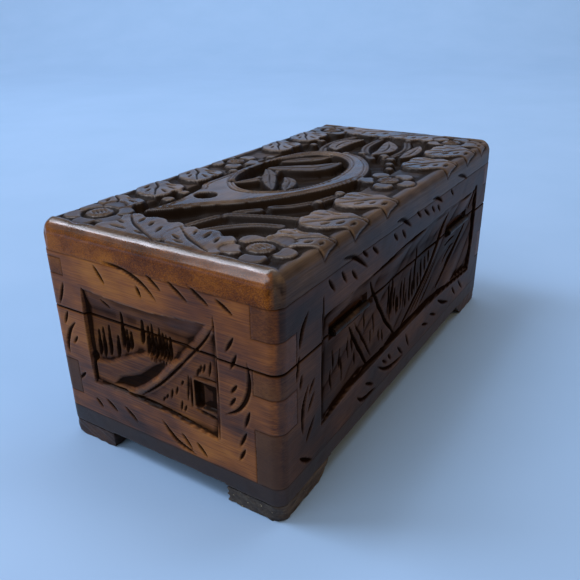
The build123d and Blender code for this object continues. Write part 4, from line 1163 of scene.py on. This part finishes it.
def streaks(tree, streak_mm, detail=4.0, rough=0.6):
    """Noise whose streaks have a real length, width and height in mm along x, y and z."""
    place = add_node(tree, "ShaderNodeTexCoord").outputs["Object"]
    scale = [1000 / size for size in streak_mm]
    spread = add_node(tree, "ShaderNodeMapping", Vector=place, Scale=scale).outputs["Vector"]
    made = add_node(tree, "ShaderNodeTexNoise", Vector=spread, Scale=1.0, Detail=detail, Roughness=rough)
    return made.outputs["Fac"]


# %% Stained and varnished hardwood
# The stain's tones from dark to light, by the value of the grain noise.
WARM = [(0.36, "#2b1507"), (0.45, "#5a300f"), (0.53, "#844d18"), (0.63, "#a56826")]
AMBER = [(0.34, "#381904"), (0.45, "#643207"), (0.54, "#8a4c0c"), (0.66, "#ac6a1a")]
# The long sides' tones are the end boards' stain darkened, as painted shade for sides that face away from the
# light; the base uses them too.
SHADED_TONES = [(0.36, "#180d08"), (0.45, "#2b1b12"), (0.53, "#402a1c"), (0.63, "#5a402b")]
TOP = [(0.36, "#1d130d"), (0.45, "#38281d"), (0.53, "#52402f"), (0.63, "#6e5946")]


# Stained hardwood, varnished by brush: IOR 1.5, satin to glossy, dark in the cuts from stain and painted
# shade, warm on the rubs.
def varnished_hardwood(
    name, along, stops, rub, dusk, gloss, patch_mm=26.0, coat=0.15, shine=0.4, rolled=False
):
    """The box's carved wood; along names the axis of its grain, x or y."""
    made, tree, output = new_finish(name)
    order = (lambda a, b, c: (a, b, c)) if along == "x" else (lambda a, b, c: (b, a, c))
    grain = streaks(tree, order(25, 1.4, 0.6), 5.0, 0.65)
    fibre = streaks(tree, order(9.0, 0.5, 0.35), 2.0, 0.5)
    patch = streaks(tree, order(patch_mm * 1.5, patch_mm, patch_mm * 0.7), 3.0, 0.55)
    mixed = maths(tree, "ADD", maths(tree, "MULTIPLY", grain, 0.32), maths(tree, "MULTIPLY", patch, 0.5))
    mixed = maths(tree, "ADD", mixed, 0.09)
    colour = ramp(tree, mixed, stops)
    colour = blend_colour(tree, note(tree, "handled_end"), colour, ramp(tree, mixed, AMBER))
    pore = maths(tree, "MULTIPLY", maths(tree, "SUBTRACT", 0.45, fibre, True), 5.0, True)
    colour = blend_colour(tree, maths(tree, "MULTIPLY", pore, 0.5), colour, linear("#1c1008"))
    soaked = maths(tree, "MULTIPLY", note(tree, "end_grain"), maths(tree, "ADD", patch, 0.15), True)
    colour = blend_colour(tree, soaked, colour, linear(dusk))
    rubbed = maths(tree, "MULTIPLY", note(tree, "proud"), maths(tree, "ADD", patch, 0.05), True)
    colour = blend_colour(tree, maths(tree, "MULTIPLY", rubbed, 0.6), colour, linear(rub))
    if rolled:
        speckle = maths(
            tree, "ADD", maths(tree, "MULTIPLY", fibre, 0.45), maths(tree, "MULTIPLY", patch, 0.55)
        )
        amber = ramp(tree, speckle, AMBER)
        colour = blend_colour(tree, note(tree, "edge_roll"), colour, amber)
    # Painted shade: hollows, steep walls and deep ground go towards near-black, together with stain lying in
    # the cuts; the same mask dulls the varnish there.
    depth_shade = maths(tree, "MULTIPLY", note(tree, "deep"), 0.95 if rolled else 1.0)
    stain_and_shade = maths(tree, "ADD", maths(tree, "MULTIPLY", note(tree, "hollow_shade"), 1.2), depth_shade, True)
    colour = blend_colour(tree, maths(tree, "MULTIPLY", stain_and_shade, 0.94), colour, linear("#130b06"))
    dull = maths(tree, "MULTIPLY", stain_and_shade, 0.28)
    rough = maths(
        tree, "ADD", maths(tree, "ADD", maths(tree, "MULTIPLY", patch, 0.24), dull), gloss - 0.12, True
    )
    varnish = maths(tree, "SUBTRACT", 1.0, maths(tree, "MULTIPLY", stain_and_shade, 0.86 if rolled else 1.0), True)
    if rolled:
        above_flank = maths(tree, "SUBTRACT", 1.0, note(tree, "flank"), True)
        handled = maths(tree, "MULTIPLY", note(tree, "edge_roll"), above_flank)
        rough = maths(tree, "SUBTRACT", rough, maths(tree, "MULTIPLY", handled, 0.1), True)
        varnish = maths(tree, "MULTIPLY", varnish, maths(tree, "MAXIMUM", above_flank, 0.2))
        coat = handled
    relief = maths(tree, "ADD", grain, maths(tree, "MULTIPLY", pore, -0.6))
    bump = add_node(tree, "ShaderNodeBump", Height=relief, Strength=0.3, Distance=0.00015)
    shader = add_node(
        tree,
        "ShaderNodeBsdfPrincipled",
        Base_Color=colour,
        Roughness=rough,
        IOR=1.5,
        Specular_IOR_Level=maths(tree, "MULTIPLY", varnish, shine),
        Coat_Weight=coat,
        Coat_Roughness=0.14 if rolled else 0.2,
        Normal=bump.outputs["Normal"],
    )
    tree.links.new(shader.outputs["BSDF"], output.inputs["Surface"])
    return made


finish_end = varnished_hardwood(
    "varnished_hardwood_ends", "y", WARM, "#a8763a", "#2c2018", 0.45, coat=0.05, shine=0.28
)
# The long sides are a shaded copy of the ends' finish: darker tones as painted shade.
finish_long_shaded = varnished_hardwood(
    "varnished_hardwood_sides_shaded", "x", SHADED_TONES, "#63472e", "#4a3322", 0.5, coat=0.0, shine=0.22
)
finish_top = varnished_hardwood(
    "varnished_hardwood_top", "x", TOP, "#776a56", "#2a1c14", 0.27, shine=0.7, rolled=True
)
finish_base = varnished_hardwood(
    "varnished_hardwood_base", "x", SHADED_TONES, "#5c4630", "#20150f", 0.55, coat=0.05
)


# %% Rough wood of the feet
def chopped_wood(name):
    """Dry unvarnished wood, grey with dirt, with specks of old glue scattered over it: IOR 1.45."""
    made, tree, output = new_finish(name)
    grain = streaks(tree, (12, 1.2, 0.8), 5.0, 0.65)
    patch = streaks(tree, (9, 9, 6), 3.0)
    mixed = maths(tree, "ADD", maths(tree, "MULTIPLY", grain, 0.5), maths(tree, "MULTIPLY", patch, 0.5))
    colour = ramp(tree, mixed, [(0.36, "#1c1712"), (0.47, "#37302a"), (0.56, "#4a4339"), (0.66, "#5d5142")])
    glue = streaks(tree, (1.4, 1.4, 1.0), 2.0, 0.5)
    speck = maths(tree, "MULTIPLY", maths(tree, "SUBTRACT", glue, 0.71, True), 30.0, True)
    colour = blend_colour(tree, speck, colour, linear("#b3a684"))
    relief = maths(tree, "ADD", grain, maths(tree, "MULTIPLY", speck, 0.5))
    bump = add_node(tree, "ShaderNodeBump", Height=relief, Strength=0.6, Distance=0.0003)
    shader = add_node(tree, "ShaderNodeBsdfPrincipled", Base_Color=colour, IOR=1.45)
    shader.inputs["Roughness"].default_value = 0.7
    tree.links.new(bump.outputs["Normal"], shader.inputs["Normal"])
    tree.links.new(shader.outputs["BSDF"], output.inputs["Surface"])
    return made


finish_foot = chopped_wood("rough_chopped_wood")


# %% Plain wood of the inside, brass, steel and clear sheet
def bare_wood(name):
    """Sanded, lightly oiled hardwood inside the box."""
    made, tree, output = new_finish(name)
    grain = streaks(tree, (40, 1.6, 1.6))
    colour = ramp(tree, grain, [(0.3, "#4a3120"), (0.5, "#6e4a2e"), (0.7, "#8a6240")])
    bump = add_node(tree, "ShaderNodeBump", Height=grain, Strength=0.2, Distance=0.0002)
    shader = add_node(tree, "ShaderNodeBsdfPrincipled", Base_Color=colour, Roughness=0.6, IOR=1.5)
    tree.links.new(bump.outputs["Normal"], shader.inputs["Normal"])
    tree.links.new(shader.outputs["BSDF"], output.inputs["Surface"])
    return made


def worked_metal(name, stops, roughness, brush_mm):
    """A metal with fine brush lines and a slightly uneven tarnish."""
    made, tree, output = new_finish(name)
    lines = streaks(tree, brush_mm, 2.0, 0.5)
    cloud = streaks(tree, (6, 6, 6))
    colour = ramp(tree, cloud, stops)
    rough = maths(tree, "ADD", maths(tree, "MULTIPLY", cloud, 0.25), roughness - 0.12, True)
    bump = add_node(tree, "ShaderNodeBump", Height=lines, Strength=0.12, Distance=0.0001)
    shader = add_node(
        tree, "ShaderNodeBsdfPrincipled", Base_Color=colour, Metallic=1.0, Roughness=rough
    )
    tree.links.new(bump.outputs["Normal"], shader.inputs["Normal"])
    tree.links.new(shader.outputs["BSDF"], output.inputs["Surface"])
    return made


def clear_sheet(name):
    """Polished acrylic sheet, 2 mm thick: IOR 1.49, with faint wipe marks in its gloss."""
    made, tree, output = new_finish(name)
    wipe = streaks(tree, (30, 4, 4), 3.0)
    rough = maths(tree, "MULTIPLY", wipe, 0.08)
    shader = add_node(
        tree,
        "ShaderNodeBsdfPrincipled",
        Base_Color=linear("#eef3f2"),
        Roughness=rough,
        IOR=1.49,
        Transmission_Weight=1.0,
    )
    tree.links.new(shader.outputs["BSDF"], output.inputs["Surface"])
    return made


finish_inside = bare_wood("oiled_wood_inside")
finish_brass = worked_metal(
    "brushed_brass", [(0.3, "#8a6a34"), (0.55, "#b8924c"), (0.75, "#cfae68")], 0.32, (8, 0.25, 0.25)
)
finish_old_brass = worked_metal(
    "tarnished_brass", [(0.3, "#1d150e"), (0.55, "#34261a"), (0.75, "#55402a")], 0.5, (8, 0.25, 0.25)
)
finish_steel = worked_metal(
    "ground_steel", [(0.3, "#84868a"), (0.55, "#a6a8ab"), (0.75, "#bfc1c4")], 0.28, (8, 0.25, 0.25)
)
finish_iron = worked_metal(
    "zinced_iron", [(0.3, "#6d6f70"), (0.55, "#86898b"), (0.75, "#a0a3a4")], 0.45, (0.25, 8, 0.25)
)
finish_clear = clear_sheet("clear_acrylic")
finish_knob = varnished_hardwood("varnished_hardwood_knob", "x", WARM, "#8a5a30", "#2a1a10", 0.3, 9.0)

# %% Put a finish on every piece
for name, board in boards.items():
    board.data.materials.append(finish_end if "right" in name or "left" in name else finish_long_shaded)
    board.data.materials.append(finish_inside)
base_board.data.materials.append(finish_base)
base_board.data.materials.append(finish_base)
for foot in feet:
    foot.data.materials.clear()
    foot.data.materials.append(finish_foot if foot is feet[0] else finish_base)
lid_board.data.materials.append(finish_top)
lid_board.data.materials.append(finish_inside)

PLAIN_FINISHES = {
    "knob": finish_knob,
    "partition": finish_inside,
    "movement_window": finish_clear,
    "comb_anvil": finish_iron,
    "crank_bush": finish_brass,
    "bedplate": finish_brass,
    "tune_cylinder": finish_brass,
    "cylinder_caps": finish_brass,
    "worm_wheel": finish_brass,
}
for node_name, cad_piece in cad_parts.items():
    if node_name in boards or node_name in ("lid_panel", "base_panel") or node_name.startswith("foot"):
        continue
    finish = PLAIN_FINISHES.get(node_name, finish_steel)
    if node_name.startswith("window_cleat"):
        finish = finish_inside
    elif node_name.startswith("hinge"):
        finish = finish_old_brass
    elif "bearing" in node_name:
        finish = finish_brass
    cad_piece.data.materials.clear()
    cad_piece.data.materials.append(finish)

# %% [markdown]
# ## Table, light and camera
#
# The table is a plain pale sheet that sweeps up far behind the box. Two cool soft windows light it
# from the left: a tall narrow one beyond the camera, which draws the long highlight on the rounded
# edge, and a broad one behind the camera. A third soft light washes the sweep, a warm one fills
# from the right, and the room is dim and warm. The camera looks down at the near end and the hinge
# side.


# %% Table
VIEW_AWAY = Vector((-0.844, -0.536, 0))
SWEEP_START, SWEEP_RADIUS = 1.5, 1.2


def make_table():
    """A pale sheet that lies flat under the box and sweeps up far behind it."""
    bm = bmesh.new()
    bmesh.ops.create_grid(bm, x_segments=60, y_segments=2, size=3.0)
    across = Vector((-VIEW_AWAY.y, VIEW_AWAY.x, 0))
    for vert in bm.verts:
        run = vert.co.x + 0.6
        turn = min(max(run - SWEEP_START, 0) / SWEEP_RADIUS, math.pi / 2)
        level = min(run, SWEEP_START) + SWEEP_RADIUS * math.sin(turn)
        rise = SWEEP_RADIUS * (1 - math.cos(turn)) + max(run - SWEEP_START - SWEEP_RADIUS * math.pi / 2, 0)
        vert.co = VIEW_AWAY * level + across * vert.co.y * 1.5 + Vector((0, 0, rise))
    bmesh.ops.recalc_face_normals(bm, faces=bm.faces)
    mesh = bpy.data.meshes.new("table")
    bm.to_mesh(mesh)
    bm.free()
    mesh.shade_smooth()
    table = bpy.data.objects.new("table", mesh)
    bpy.context.scene.collection.objects.link(table)
    made, tree, output = new_finish("pale_table")
    mottle = streaks(tree, (140, 140, 140), 3.0)
    colour = ramp(tree, mottle, [(0.3, "#8fb3d8"), (0.7, "#94b7dc")])
    shader = add_node(tree, "ShaderNodeBsdfPrincipled", Base_Color=colour, Roughness=0.6)
    tree.links.new(shader.outputs["BSDF"], output.inputs["Surface"])
    mesh.materials.append(made)


def soft_window(name, place, target, width, height, power, code):
    """A rectangular light that faces a point."""
    data = bpy.data.lights.new(name, "AREA")
    data.shape, data.size, data.size_y = "RECTANGLE", width, height
    data.energy = power
    data.color = linear(code)[:3]
    lamp = bpy.data.objects.new(name, data)
    lamp.location = place
    lamp.rotation_euler = (Vector(place) - Vector(target)).to_track_quat("Z", "Y").to_euler()
    bpy.context.scene.collection.objects.link(lamp)


make_table()
box_middle = (CASKET_X * MM, CASKET_Y * MM, 0.06)
soft_window("window_high", (0.6, -1.5, 2.3), box_middle, 0.9, 1.9, 58, "#e8eeff")
soft_window("window_left", (2.6, -0.9, 1.9), box_middle, 2.4, 2.2, 35, "#e9f0ff")
soft_window("sweep_wash", (-0.85, 0.0, 2.6), (-2.4, -0.9, 0.7), 2.4, 1.2, 54, "#e9f1ff")
soft_window("room_fill", (-0.4, 2.4, 1.3), box_middle, 2.0, 1.6, 16, "#ffc994")
world = bpy.data.worlds.new("dim_room")
world.use_nodes = True
world.node_tree.nodes["Background"].inputs["Color"].default_value = linear("#ffdfb8")
world.node_tree.nodes["Background"].inputs["Strength"].default_value = 0.2
bpy.context.scene.world = world
bpy.context.scene.view_settings.view_transform = "Standard"

# %% Camera
camera_data = bpy.data.cameras.new("camera")
camera_data.sensor_width = 36.0
camera_data.lens = 39.16
camera = bpy.data.objects.new("camera", camera_data)
right = Vector((-0.5319, 0.8467, -0.0139))
up = Vector((-0.3643, -0.2140, 0.9064))
back = right.cross(up).normalized()
up = back.cross(right).normalized()
turn = Matrix((right.normalized(), up, back)).transposed().to_4x4()
spot = Vector((CASKET_X + 287.9, CASKET_Y + 170.2, 197.0)) * MM
camera.matrix_world = Matrix.Translation(spot) @ turn
bpy.context.scene.collection.objects.link(camera)
bpy.context.scene.camera = camera
